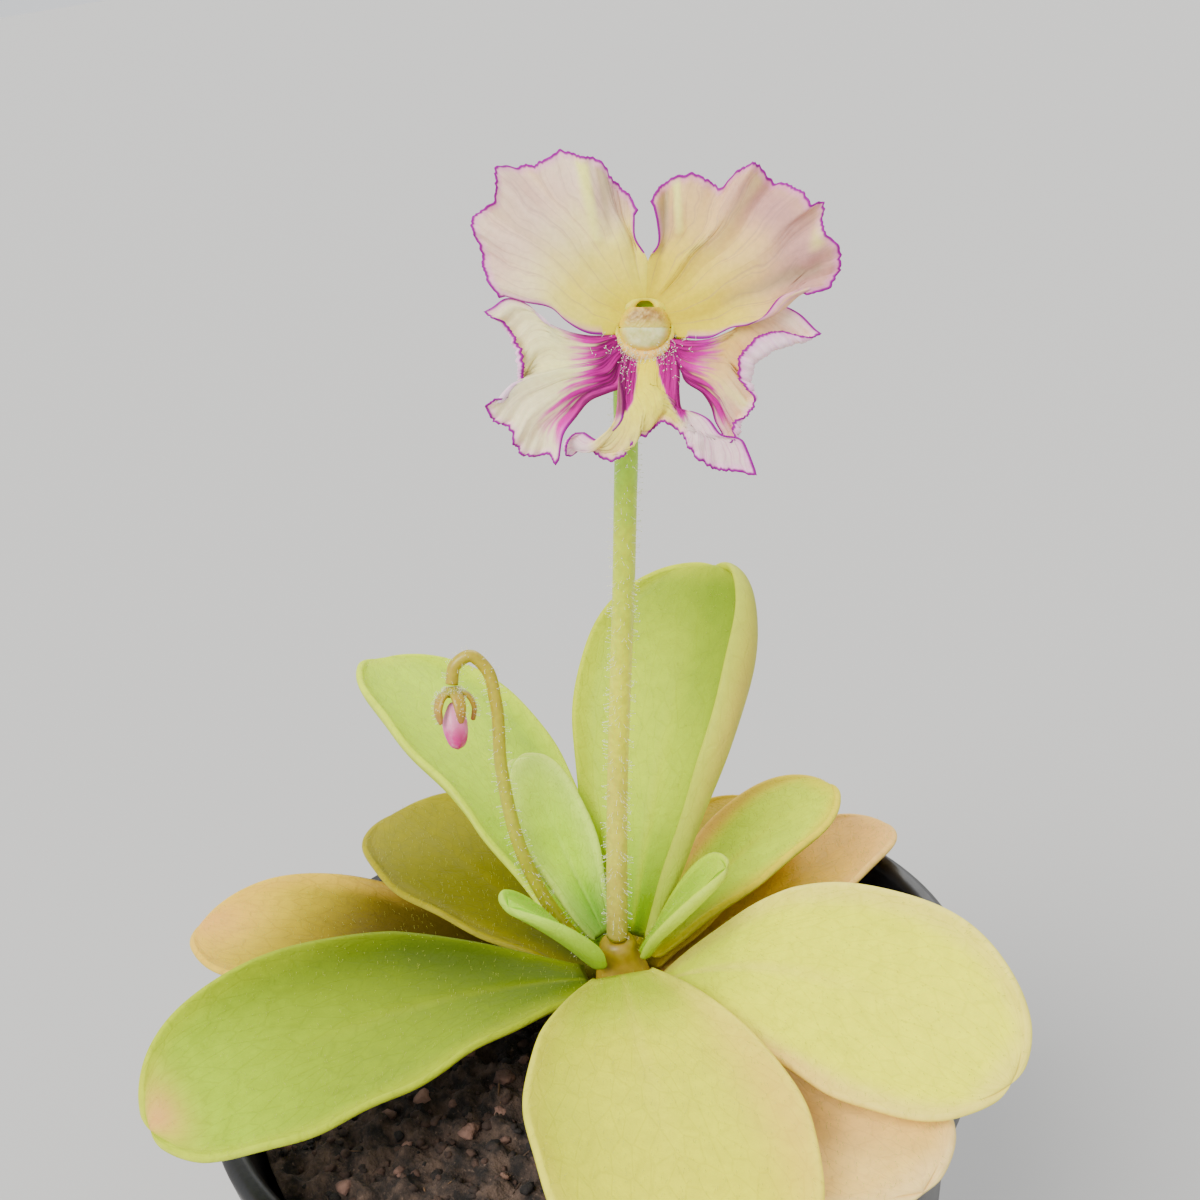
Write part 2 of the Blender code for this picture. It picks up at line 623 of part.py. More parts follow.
def roll_section(fold, steps):
    """Outward and forward place of each step of a margin that folds back by the given amount."""
    turn = math.pi * min(1.0, fold / FULL_FOLD)
    length = MARGIN_DEPTH + 1.25 * fold
    reach = np.linspace(0.0, length, steps * 8 + 1)
    angle = turn * np.clip(reach / (math.pi * ROLL_RADIUS), 0.0, 1.0) * 0.98
    step = reach[1] - reach[0]
    outward = np.concatenate([[0.0], np.cumsum(np.cos(angle[:-1]) * step)])
    forward = np.concatenate([[0.0], np.cumsum(np.sin(angle[:-1]) * step)])
    return outward[::8], forward[::8], outward.max()


def petal_surface(petal, rows, columns, roll_steps):
    """Middle points of a petal in the flower's frame, from the throat out to its rolled margin."""
    left = spline(petal["left"], rows + 1)
    right = spline(petal["right"], rows + 1)
    rim = spline(petal["rim"], columns + 1)
    base = np.linspace(left[0], right[0], columns + 1)
    share = np.linspace(0.0, 1.0, columns + 1)
    bulge = np.sin(math.pi * share)[:, None]
    base = base + bulge * (np.array(petal["base"]) - base.mean(axis=0))
    outward = rim_directions(rim[:, :2], base.mean(axis=0))
    sections = [roll_section(max(0.0, fold), roll_steps) for fold in rim[:, 2]]
    reach = np.array([section[2] for section in sections])
    edge = rim[:, :2] - outward * reach[:, None]
    a = share[None, :, None]
    b = np.linspace(0.0, 1.0, rows + 1)[:, None, None]
    left_edge = left + b[:, 0] * (edge[0] - left[-1])
    right_edge = right + b[:, 0] * (edge[-1] - right[-1])
    flat = (1 - a) * left_edge[:, None] + a * right_edge[:, None] + (1 - b) * base[None] + b * edge[None]
    flat -= (1 - a) * (1 - b) * base[0] + a * (1 - b) * base[-1] + (1 - a) * b * edge[0] + a * b * edge[-1]
    waves, height, phase = petal["ruffle"]
    folds, depth, start = petal["pleats"]
    b = b[..., 0]
    a = a[..., 0]
    relief = petal["rise"] * b + petal["bow"] * np.sin(math.pi * b)
    relief = relief + height * np.sin(2 * math.pi * waves * a + phase) * b**3
    fade = np.sin(math.pi * np.minimum(b, 0.7) / 1.4)
    relief = relief + depth * np.sin(2 * math.pi * folds * a + start) * fade
    grid = np.concatenate([flat, relief[..., None]], axis=2)
    strips = []
    for step in range(1, roll_steps + 1):
        out = np.array([section[0][step] for section in sections])
        forward = np.array([section[1][step] for section in sections])
        strip = np.concatenate([edge + outward * out[:, None], (relief[-1] + forward)[:, None]], axis=1)
        strips.append(strip)
    return np.concatenate([grid, np.array(strips)], axis=0)


def rim_directions(rim, centre):
    """Outward directions along a petal's rim, smoothed so that a wave doesn't cross itself."""
    along = np.gradient(rim, axis=0)
    outward = np.stack([along[:, 1], -along[:, 0]], 1)
    away = rim - centre
    away /= np.linalg.norm(away, axis=1)[:, None]
    outward *= np.sign((outward * away).sum(axis=1).mean())
    outward /= np.linalg.norm(outward, axis=1)[:, None] + 1e-9
    mixed = outward + 0.8 * away
    padded = np.concatenate([mixed[:1], mixed, mixed[-1:]])
    smooth = padded[:-2] + 2 * padded[1:-1] + padded[2:]
    return smooth / np.linalg.norm(smooth, axis=1)[:, None]


def joined(name, pieces, finish, cutters=()):
    """One closed body from overlapping pieces, less the cutters."""
    whole = pieces[0]
    for operation, others in (("UNION", pieces[1:]), ("DIFFERENCE", cutters)):
        for other in others:
            step = whole.modifiers.new(operation.lower(), "BOOLEAN")
            step.operation = operation
            step.solver = "MANIFOLD"
            step.object = other
    graph = bpy.context.evaluated_depsgraph_get()
    mesh = bpy.data.meshes.new_from_object(whole.evaluated_get(graph))
    for piece in (*pieces, *cutters):
        bpy.data.objects.remove(piece, do_unlink=True)
    mesh.materials.clear()
    mesh.materials.append(finish)
    made = bpy.data.objects.new(name, mesh)
    bpy.context.scene.collection.objects.link(made)
    return made


def flower_tube(name, path, radii, stations, finish):
    """A round body along a path in the flower's frame."""
    points, faces = tube(from_flower(spline(path, stations)), along_radii(radii, stations), TUBE_SIDES)
    return mesh_object(name, points, faces, finish)


def corolla():
    """Five petals, the tube behind them and the spur, grown as one piece."""
    pink = material("petal", (0.86, 0.66, 0.66), 0.55)
    pieces = [flower_tube("tube", TUBE_PATH, TUBE_RADII, 12, pink)]
    for name, petal in PETALS.items():
        grid = petal_surface(petal, PETAL_ROWS, PETAL_COLUMNS, ROLL_STEPS)
        middle = from_flower(grid)
        thickness = np.full(middle.shape[:2], PETAL_THICKNESS)
        pieces.append(mesh_object(name, *thick_sheet(middle, grid_normals(middle), thickness), pink))
    bore = flower_tube("bore", TUBE_BORE, TUBE_BORE_RADII, 5, pink)
    joined("corolla", pieces, pink, (bore,))


def along_radii(radii, count):
    """Radii spread evenly along a path of count points."""
    return np.interp(np.linspace(0, 1, count), np.linspace(0, 1, len(radii)), radii)


def blade(path, width, outward, thickness=SEPAL_THICKNESS, rows=7):
    """A small pointed blade along a path, curved round the axis that it faces away from."""
    path = spline(path, rows + 1)
    tangent = np.gradient(path, axis=0)
    tangent /= np.linalg.norm(tangent, axis=1)[:, None]
    side = np.cross(tangent, outward)
    side /= np.linalg.norm(side, axis=1)[:, None]
    out = np.cross(side, tangent)
    along = np.linspace(0.0, 1.0, rows + 1)[:rows]
    half = 0.5 * width * np.sqrt(1 - along) * (0.75 + 0.55 * along)
    across = np.linspace(-1.0, 1.0, 5)
    middle = path[:rows, None] + side[:rows, None] * (half[:, None] * across)[..., None]
    middle = middle - out[:rows, None] * (0.3 * half[:, None] * across**2)[..., None]
    normals = grid_normals(middle)
    depth = np.full(middle.shape[:2], thickness)
    return middle, normals, depth, (path[rows], normals[-1, 2], thickness)


def calyx(name, place, hub, hub_radii, sepals, finish):
    """A small hub with five sepals, in the frame that place maps from."""
    pieces = [mesh_object("hub", *tube(place(spline(hub, 7)), along_radii(hub_radii, 7), 10), finish)]
    for path, outward in sepals:
        middle, normals, depth, tip = blade(path, SEPAL_WIDTH, np.array(outward))
        points, faces = thick_sheet(middle, normals, depth, tip)
        pieces.append(mesh_object("sepal", place(points), faces, finish))
    joined(name, pieces, finish)


def flower_calyx():
    green = material("calyx_green", (0.30, 0.45, 0.08), 0.5)
    sepals = []
    for u, v in SEPAL_SPREAD:
        path = [(u * share, HUB_V + (v - HUB_V) * share, w) for share, w in SEPAL_COURSE]
        sepals.append((path, (u, v - HUB_V, 0.4)))
    hub = ((0.0, HUB_V + 0.1, -8.5), (0.0, HUB_V, -7.9), (0.0, HUB_V, -7.0))
    calyx("calyx", from_flower, hub, (1.0, 1.15, 0.5), sepals, green)


def scape():
    """The flower's stalk, from the crown's top to the back of the calyx."""
    top = from_flower(np.array(SCAPE_TOP))
    path = np.concatenate([np.array(SCAPE_FOOT), top])
    stalk = material("scape", (0.52, 0.50, 0.26), 0.5)
    mesh_object("scape", *tube(spline(path, 22), along_radii(SCAPE_RADII, 22), 10), stalk)


def bulb(name, u, v, squash, profile, finish):
    """A round-ended body on a short stalk, standing out of the throat."""
    points, faces = turned(profile, 12)
    points = np.array(points)
    stretched = np.stack([u + points[:, 0] * squash[0], v + points[:, 1] * squash[1], points[:, 2]], 1)
    mesh_object(name, from_flower(stretched), faces, finish)


def stigma_and_anthers():
    pale = material("stigma", (0.72, 0.76, 0.62), 0.3)
    beige = material("anthers", (0.62, 0.50, 0.34), 0.4)
    bulb("stigma", 0.03, -0.76, (1.6, 0.82), BULB_PROFILE, pale)
    bulb("anthers", 0.0, 0.86, (1.42, 0.5), BULB_PROFILE, beige)


def bud():
    """A young flower stalk whose hooked end carries a nodding bud."""
    stalk = material("bud_stalk", (0.45, 0.42, 0.16), 0.5)
    brown = material("bud_calyx", (0.36, 0.33, 0.12), 0.5)
    pink = material("bud_petals", (0.72, 0.36, 0.50), 0.5)
    path = spline(BUD_STALK, 20)
    mesh_object("bud_scape", *tube(path, along_radii((0.75, 0.7, 0.65, 0.65), 20), 8), stalk)
    axis = np.array(BUD_AXIS) / np.linalg.norm(BUD_AXIS)
    side = np.cross(axis, (0.0, 1.0, 0.0))
    side /= np.linalg.norm(side)
    other = np.cross(axis, side)
    start = path[-1] + axis * CLEARANCE

    def place(points):
        points = np.asarray(points, float)
        return start + points[..., :1] * side + points[..., 1:2] * other + points[..., 2:3] * axis

    sepals = []
    for k in range(5):
        angle = 2 * math.pi * k / 5
        path = [(r * math.cos(angle), r * math.sin(angle), w) for r, w in BUD_SEPAL]
        sepals.append((path, (math.cos(angle), math.sin(angle), 0.0)))
    hub = ((0.0, 0.0, 0.0), (0.0, 0.0, 0.5), (0.0, 0.0, 1.0))
    calyx("bud_calyx", place, hub, (0.7, 1.1, 0.9), sepals, brown)
    points, faces = turned(BUD_PROFILE, 12)
    mesh_object("bud_petals", place(points), faces, pink)


def main():
    clear_scene()
    pot()
    soil()
    crown()
    leaves()
    corolla()
    flower_calyx()
    scape()
    stigma_and_anthers()
    bud()


main()
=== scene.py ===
"""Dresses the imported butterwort: fine leaves, petals and hairs, rough peat and a black pot.

Lengths in this file are in millimetres, and MM turns them into Blender's metres. The origin is the
middle of the pot's base, +Z is up and the open flower faces -Y.
"""

import math

import bpy
import numpy as np
from mathutils import Matrix, Vector

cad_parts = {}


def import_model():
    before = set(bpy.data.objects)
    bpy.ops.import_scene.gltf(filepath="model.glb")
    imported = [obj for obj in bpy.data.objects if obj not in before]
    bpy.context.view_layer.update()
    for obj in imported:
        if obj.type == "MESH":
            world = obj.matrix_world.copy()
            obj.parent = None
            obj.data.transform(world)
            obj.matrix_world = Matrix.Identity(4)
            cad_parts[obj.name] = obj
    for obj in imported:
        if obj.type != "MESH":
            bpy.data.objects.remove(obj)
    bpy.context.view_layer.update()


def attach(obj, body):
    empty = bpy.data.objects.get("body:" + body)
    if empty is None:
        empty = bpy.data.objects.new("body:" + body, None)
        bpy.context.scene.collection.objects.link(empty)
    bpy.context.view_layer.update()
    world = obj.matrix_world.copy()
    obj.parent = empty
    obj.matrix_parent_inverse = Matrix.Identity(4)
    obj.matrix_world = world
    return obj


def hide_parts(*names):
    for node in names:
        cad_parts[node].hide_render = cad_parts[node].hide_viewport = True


MM = 0.001
FLOATS = "FLOAT"

# Camera: where it stands, what is right and up for it, and its lens.
CAMERA_PLACE = (0.0, -139.24, 173.52)
CAMERA_RIGHT = (0.981, -0.1216, -0.1512)
CAMERA_UP = (0.1865, 0.3761, 0.9076)
CAMERA_LENS = 48.0
CAMERA_SENSOR = 36.0

# Crown and peat
CROWN_X = 4.0
CROWN_Y = -1.0
POT_HEIGHT = 70.0
POT_RIM_RADIUS = 40.0
POT_BASE_RADIUS = 28.0
POT_WALL = 1.3
POT_FLOOR = 1.6
RIM_BAND_HEIGHT = 7.0
RIM_BAND_STEP = 1.7
DRAIN_HOLES = 6
DRAIN_HOLE_RADIUS = 3.5
DRAIN_HOLE_CIRCLE = 18.5
SOIL_LEVEL = 64.9
SOIL_MOUND = 1.8
SOIL_MOUND_REACH = 13.0
SOIL_LUMP = 0.75
BED_DROP = 0.3
CROWN_HOLE = 3.5
CLEARANCE = 0.3

# Leaves
LEAF_ROWS = 90
LEAF_COLUMNS = 56
LEAF_THICKNESS = 1.3
LEAF_EDGE_THICKNESS = 0.75
LEAF_ROOT_THICKNESS = 1.5
LEAF_ROOT_WIDTH = 0.11
LEAF_TIP_CROWDING = 1.7
LEAF_CUP = 14.0
MARGIN_START = (0.7, 0.7)

# The flower
FLOWER_CENTRE = (13.7, -20.5, 144.4)
FLOWER_AZIMUTH = -96.6
FLOWER_ELEVATION = 13.7
FLOWER_LEAN = -8.6
PETAL_ROWS = 54
PETAL_COLUMNS = 176
PETAL_ROLL_STEPS = 12
OUTLINE_COLUMNS = 16
ROLL_RADIUS = 0.45
MARGIN_DEPTH = 0.5
PETAL_THICKNESS = 0.26

# How much further from grey every colour is taken, because the light of the scene pales it.
VIVID = 1.5
LEAF_VIVID = 1.75


def colour(code, vivid=VIVID):
    """A linear colour from six hexadecimal digits, taken further from its own grey."""
    shares = [int(code[i : i + 2], 16) / 255 for i in (0, 2, 4)]
    red, green, blue = (s / 12.92 if s <= 0.04045 else ((s + 0.055) / 1.055) ** 2.4 for s in shares)
    grey = 0.25 * red + 0.65 * green + 0.10 * blue
    return tuple(min(0.95, max(0.002, grey + (c - grey) * vivid)) for c in (red, green, blue))


# Mesh helpers


def mesh_piece(name, points, faces, finishes, values=None, face_slots=None):
    """One smooth object from points in millimetres, with float values on its points."""
    mesh = bpy.data.meshes.new(name)
    points = np.asarray(points, float) * MM
    faces = [np.asarray(group, np.int64) for group in faces if len(group)]
    sizes = np.concatenate([np.full(len(group), group.shape[1]) for group in faces])
    corners = np.concatenate([group.ravel() for group in faces])
    mesh.vertices.add(len(points))
    mesh.vertices.foreach_set("co", points.astype(np.float32).ravel())
    mesh.loops.add(len(corners))
    mesh.loops.foreach_set("vertex_index", corners.astype(np.int32))
    mesh.polygons.add(len(sizes))
    starts = np.concatenate([[0], np.cumsum(sizes)[:-1]])
    mesh.polygons.foreach_set("loop_start", starts.astype(np.int32))
    mesh.update(calc_edges=True)
    mesh.validate()
    mesh.shade_smooth()
    for key, data in (values or {}).items():
        layer = mesh.attributes.new(key, FLOATS, "POINT")
        layer.data.foreach_set("value", np.asarray(data, np.float32).ravel())
    for finish in finishes:
        mesh.materials.append(finish)
    if face_slots is not None:
        mesh.polygons.foreach_set("material_index", np.asarray(face_slots, np.int32))
    made = bpy.data.objects.new(name, mesh)
    bpy.context.scene.collection.objects.link(made)
    return made


def keep(piece, slot, *nodes):
    """The piece rides on the part and stands for the CAD nodes named."""
    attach(piece, "root")
    if nodes:
        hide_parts(*nodes)


def lens(middle, normals, half, flip):
    """A closed sheet of two faces that share their border.

    Returns its points, its quads, the row and column of each point, and 1 for each point that is
    on the upper face or the border.
    """
    rows, columns = middle.shape[:2]
    upper = np.arange(rows * columns).reshape(rows, columns)
    lower = upper.copy()
    inner = np.arange((rows - 2) * (columns - 2)).reshape(rows - 2, columns - 2)
    lower[1:-1, 1:-1] = inner + rows * columns
    offset = normals * half[..., None]
    offset[0] = offset[-1] = 0.0
    offset[:, 0] = offset[:, -1] = 0.0
    below = (middle - offset)[1:-1, 1:-1].reshape(-1, 3)
    points = np.concatenate([(middle + offset).reshape(-1, 3), below])

    def quads(index, turned):
        a, b = index[:-1, :-1], index[1:, :-1]
        c, d = index[1:, 1:], index[:-1, 1:]
        order = (a, d, c, b) if turned else (a, b, c, d)
        return np.stack([corner.ravel() for corner in order], 1)

    faces = np.concatenate([quads(upper, flip), quads(lower, not flip)])
    row, column = np.mgrid[0:rows, 0:columns]
    row = np.concatenate([row.ravel(), row[1:-1, 1:-1].ravel()])
    column = np.concatenate([column.ravel(), column[1:-1, 1:-1].ravel()])
    is_upper = np.concatenate([np.ones(rows * columns), np.zeros(inner.size)])
    return points, faces, row, column, is_upper


def grid_normals(middle):
    along = np.gradient(middle, axis=0)
    across = np.gradient(middle, axis=1)
    normals = np.cross(along, across)
    return normals / (np.linalg.norm(normals, axis=2, keepdims=True) + 1e-12)


def spline(points, count):
    """Count points along a smooth curve through the given points, evenly by chord length."""
    points = np.array(points, float)
    steps = np.linalg.norm(np.diff(points[:, :2], axis=0), axis=1) + 1e-6
    if points.shape[1] == 3:
        steps = np.linalg.norm(np.diff(points, axis=0), axis=1) + 1e-6
    at = np.concatenate([[0.0], np.cumsum(steps)])
    slopes = np.gradient(points, at, axis=0)
    where = np.linspace(0.0, at[-1], count)
    cell = np.clip(np.searchsorted(at, where, side="right") - 1, 0, len(at) - 2)
    span = (at[cell + 1] - at[cell])[:, None]
    t = (where[:, None] - at[cell][:, None]) / span
    start = (2 * t**3 - 3 * t**2 + 1) * points[cell] + (t**3 - 2 * t**2 + t) * span * slopes[cell]
    end = (3 * t**2 - 2 * t**3) * points[cell + 1] + (t**3 - t**2) * span * slopes[cell + 1]
    return start + end


def along_radii(radii, count):
    """Radii spread evenly along a path of count points."""
    return np.interp(np.linspace(0, 1, count), np.linspace(0, 1, len(radii)), radii)


def tube(path, radii, sides):
    """Points, quads, share of the way along, and outward normals of a round tube with closed ends."""
    path = np.array(path, float)
    tangents = np.gradient(path, axis=0)
    tangents /= np.linalg.norm(tangents, axis=1)[:, None]
    side = np.cross(tangents[0], (0.0, 1.0, 0.3))
    angles = 2 * math.pi * np.arange(sides) / sides
    rings = []
    normals = []
    for centre, tangent, radius in zip(path, tangents, radii):
        side = side - tangent * np.dot(side, tangent)
        side /= np.linalg.norm(side)
        other = np.cross(tangent, side)
        ring = np.cos(angles)[:, None] * side + np.sin(angles)[:, None] * other
        rings.append(centre + radius * ring)
        normals.append(ring)
    count = len(path)
    index = np.arange(count * sides).reshape(count, sides)
    nxt = np.roll(index, -1, axis=1)
    quads = np.stack([index[:-1], nxt[:-1], nxt[1:], index[1:]], -1).reshape(-1, 4)
    caps = [(count * sides, nxt[0, k], index[0, k]) for k in range(sides)]
    caps += [(count * sides + 1, index[-1, k], nxt[-1, k]) for k in range(sides)]
    points = np.concatenate([np.concatenate(rings), path[:1], path[-1:]])
    share = np.concatenate([np.repeat(np.linspace(0, 1, count), sides), [0.0, 1.0]])
    outward = np.concatenate([np.concatenate(normals), -tangents[:1], tangents[-1:]])
    return points, [quads, np.array(caps)], share, outward


def turned(profile, sides, centre=(0.0, 0.0)):
    """Points and quads of a profile of (radius, height) turned about a vertical axis."""
    profile = np.array(profile, float)
    angles = 2 * math.pi * np.arange(sides) / sides
    x = centre[0] + profile[:, :1] * np.cos(angles)
    y = centre[1] + profile[:, :1] * np.sin(angles)
    z = np.repeat(profile[:, 1:2], sides, axis=1)
    index = np.arange(x.size).reshape(x.shape)
    nxt = np.roll(index, -1, axis=1)
    quads = np.stack([index[:-1], nxt[:-1], nxt[1:], index[1:]], -1).reshape(-1, 4)
    return np.stack([x, y, z], -1).reshape(-1, 3), quads


def scattered(template, places, normals, spins, sizes):
    """Copies of a template (points, triangles) that stand on places along normals."""
    points, faces = template
    normals = normals / np.linalg.norm(normals, axis=1)[:, None]
    guide = np.where(np.abs(normals[:, 2:]) < 0.9, (0.0, 0.0, 1.0), (1.0, 0.0, 0.0))
    side = np.cross(normals, guide)
    side /= np.linalg.norm(side, axis=1)[:, None]
    other = np.cross(normals, side)
    turned_side = side * np.cos(spins)[:, None] + other * np.sin(spins)[:, None]
    turned_other = np.cross(normals, turned_side)
    sizes = np.asarray(sizes, float)
    if sizes.ndim == 1:
        sizes = np.repeat(sizes[:, None], 3, axis=1)
    local = points[None] * sizes[:, None]
    spread = local[..., :1] * turned_side[:, None] + local[..., 1:2] * turned_other[:, None]
    spread = spread + local[..., 2:] * normals[:, None] + places[:, None]
    shift = np.arange(len(places))[:, None, None] * len(points)
    return spread.reshape(-1, 3), (faces[None] + shift).reshape(-1, 3)


def gland_template():
    """A short tapered hair with a droplet on its end, one unit tall."""
    stalk = 0.045
    points = []
    for height, radius in ((-0.1, stalk), (0.85, 0.6 * stalk)):
        for k in range(3):
            angle = 2 * math.pi * k / 3
            points.append((radius * math.cos(angle), radius * math.sin(angle), height))
    faces = []
    for k in range(3):
        n = (k + 1) % 3
        faces += [(k, n, n + 3), (k, n + 3, k + 3)]
    drop = 0.13
    base = len(points)
    centre = 1.0 - drop
    points += [(drop, 0, centre), (0, drop, centre), (-drop, 0, centre), (0, -drop, centre)]
    points += [(0, 0, centre + drop), (0, 0, centre - drop)]
    for k in range(4):
        a = base + k
        b = base + (k + 1) % 4
        faces += [(a, b, base + 4), (b, a, base + 5)]
    return np.array(points, float), np.array(faces, np.int64)


def on_surface(points, quads, normals, count, rng, weights=None):
    """Random places on a quad mesh, evenly by area, with the normals there."""
    corner = points[quads]
    diagonal = np.cross(corner[:, 2] - corner[:, 0], corner[:, 3] - corner[:, 1])
    area = np.linalg.norm(diagonal, axis=1)
    if weights is not None:
        area = area * weights[quads].mean(axis=1)
    picks = rng.choice(len(quads), size=count, p=area / area.sum())
    u, v = rng.random((2, count, 1))
    chosen = corner[picks]
    place = (1 - u) * (1 - v) * chosen[:, 0] + u * (1 - v) * chosen[:, 1]
    place = place + u * v * chosen[:, 2] + (1 - u) * v * chosen[:, 3]
    return place, normals[quads[picks]].mean(axis=1), picks


# Material helpers


class Paint:
    """A short way to build one Principled material."""

    def __init__(self, name):
        self.made = bpy.data.materials.new(name)
        self.made.use_nodes = True
        self.nodes = self.made.node_tree.nodes
        self.links = self.made.node_tree.links
        self.shader = self.nodes["Principled BSDF"]

    def set(self, **values):
        names = {
            "rough": "Roughness",
            "metal": "Metallic",
            "specular": "Specular IOR Level",
            "coat": "Coat Weight",
            "coat_rough": "Coat Roughness",
            "sheen": "Sheen Weight",
            "sheen_rough": "Sheen Roughness",
            "under": "Subsurface Weight",
            "under_scale": "Subsurface Scale",
            "transmission": "Transmission Weight",
            "ior": "IOR",
        }
        for key, value in values.items():
            self.shader.inputs[names[key]].default_value = value

    def under_radius(self, radius):
        self.shader.inputs["Subsurface Radius"].default_value = radius

    def link(self, source, target):
        self.links.new(source, target)

    def feed(self, socket, value):
        if isinstance(value, (int, float)):
            socket.default_value = value
        elif isinstance(value, tuple):
            socket.default_value = (*value, 1.0) if len(socket.default_value) == 4 else value
        else:
            self.link(value, socket)

    def value(self, key):
        node = self.nodes.new("ShaderNodeAttribute")
        node.attribute_name = key
        return node.outputs["Fac"]

    def place(self):
        """The point's place on the part, in metres."""
        return self.nodes.new("ShaderNodeTexCoord").outputs["Object"]

    def math(self, operation, a, b=0.0, c=0.0, clamp=False):
        node = self.nodes.new("ShaderNodeMath")
        node.operation = operation
        node.use_clamp = clamp
        for socket, value in zip(node.inputs, (a, b, c)):
            self.feed(socket, value)
        return node.outputs[0]

    def ramp(self, value, low, high, start=0.0, end=1.0):
        """Goes smoothly from start to end while the value goes from low to high."""
        node = self.nodes.new("ShaderNodeMapRange")
        node.interpolation_type = "SMOOTHSTEP"
        for socket, number in zip(node.inputs, (value, low, high, start, end)):
            self.feed(socket, number)
        return node.outputs[0]

    def mix(self, share, a, b, blend="MIX"):
        node = self.nodes.new("ShaderNodeMix")
        node.data_type = "RGBA"
        node.blend_type = blend
        node.clamp_factor = True
        self.feed(node.inputs["Factor"], share)
        self.feed(node.inputs[6], a)
        self.feed(node.inputs[7], b)
        return node.outputs[2]

    def combine(self, x, y, z):
        node = self.nodes.new("ShaderNodeCombineXYZ")
        for socket, value in zip(node.inputs, (x, y, z)):
            self.feed(socket, value)
        return node.outputs[0]

    def noise(self, vector, scale, detail=3.0, rough=0.5):
        node = self.nodes.new("ShaderNodeTexNoise")
        self.feed(node.inputs["Vector"], vector)
        node.inputs["Scale"].default_value = scale
        node.inputs["Detail"].default_value = detail
        node.inputs["Roughness"].default_value = rough
        return node.outputs["Fac"]

    def cells(self, vector, scale, feature="F1", output="Distance"):
        node = self.nodes.new("ShaderNodeTexVoronoi")
        node.feature = feature
        self.feed(node.inputs["Vector"], vector)
        node.inputs["Scale"].default_value = scale
        return node.outputs[output]

    def bump(self, height, strength, distance):
        node = self.nodes.new("ShaderNodeBump")
        node.inputs["Strength"].default_value = strength
        node.inputs["Distance"].default_value = distance * MM
        self.link(height, node.inputs["Height"])
        self.link(node.outputs["Normal"], self.shader.inputs["Normal"])

    def base(self, colour_socket):
        self.feed(self.shader.inputs["Base Color"], colour_socket)

    def roughness(self, socket):
        self.feed(self.shader.inputs["Roughness"], socket)


# Leaves

# Each leaf: the height and distance from the crown's axis at which it grows, the compass angle of
# its midrib at the root and how far that turns, its slope at the root and at the tip, its length
# and width, its roll to the left, how far each margin rolls up (left, right), and how far out the
# blade is widest. Hems say from which share of the half width each margin starts to roll.
LEAVES = {
    "leaf_left": dict(
        root=(72.4, 3.5), azimuth=191, turn=15, slopes=(20, -9), size=(46.0, 22.5),
        roll=-18, margins=(40, 40), fullness=1.2, colour="fresh",
    ),
    "leaf_near": dict(
        root=(74.3, 3.2), azimuth=-92, turn=10, slopes=(15, -19), size=(43.5, 25.5),
        roll=-10, margins=(35, 35), fullness=1.05, colour="pale",
    ),
    "leaf_right": dict(
        root=(71.2, 3.6), azimuth=-37, turn=-17, slopes=(36, -24), size=(42.0, 20.5),
        roll=34, margins=(35, 35), fullness=1.2, colour="pale",
    ),
    "leaf_old_right": dict(
        root=(69.4, 3.9), azimuth=-60, turn=-1, slopes=(3.5, 2.0), size=(38.0, 20.5),
        roll=0, margins=(20, 20), fullness=1.3, colour="peach",
    ),
    "leaf_old_left": dict(
        root=(69.3, 3.9), azimuth=152, turn=0, slopes=(7, 2), size=(49.0, 20.0),
        roll=-3, margins=(35, 35), fullness=1.3, colour="peach",
    ),
    "leaf_olive": dict(
        root=(70.9, 3.6), azimuth=125, turn=-1, slopes=(13, 9), size=(37.0, 19.5),
        roll=0, margins=(35, 35), fullness=1.3, colour="olive",
    ),
    "leaf_back_left": dict(
        root=(73.5, 3.2), azimuth=112, turn=14, slopes=(38, 20), size=(46.5, 21.5),
        roll=20, margins=(55, 55), fullness=1.3, colour="fresh",
    ),
    "leaf_tall": dict(
        root=(75.2, 3.1), azimuth=50, turn=2, slopes=(62, 38), size=(41.0, 24.5),
        roll=0, margins=(45, 165), hems=(0.7, 0.55), fullness=1.2, colour="fresh",
    ),
    "leaf_back_right": dict(
        root=(73.2, 3.3), azimuth=32, turn=-2, slopes=(19, 10), size=(29.0, 13.5),
        roll=0, margins=(50, 50), fullness=1.2, colour="fresh",
    ),
    "leaf_back_low": dict(
        root=(71.0, 3.6), azimuth=51, turn=-1, slopes=(9, 4), size=(29.5, 15.5),
        roll=0, margins=(35, 35), fullness=1.3, colour="olive",
    ),
    "leaf_old_back_right": dict(
        root=(69.3, 3.9), azimuth=30, turn=1, slopes=(5, 3), size=(35.0, 13.5),
        roll=0, margins=(40, 40), fullness=1.3, colour="peach",
    ),
    "leaf_old_back": dict(
        root=(69.0, 4.4), azimuth=87, turn=0, slopes=(7, 3), size=(34.0, 16.5),
        roll=0, margins=(35, 35), fullness=1.5, colour="olive",
    ),
    "leaf_inner_back": dict(
        root=(76.0, 2.8), azimuth=121, turn=-2, slopes=(62, 57), size=(20.5, 9.3),
        roll=0, margins=(80, 80), fullness=1.1, colour="mint",
    ),
    "leaf_inner_left": dict(
        root=(75.6, 2.9), azimuth=214, turn=-8, slopes=(60, 46), size=(14.5, 9.8),
        roll=0, margins=(70, 70), fullness=1.0, colour="young",
    ),
    "leaf_inner_right": dict(
        root=(75.5, 2.9), azimuth=-26, turn=6, slopes=(56, 38), size=(14.5, 9.0),
        roll=0, margins=(80, 80), fullness=1.1, colour="young",
    ),
}

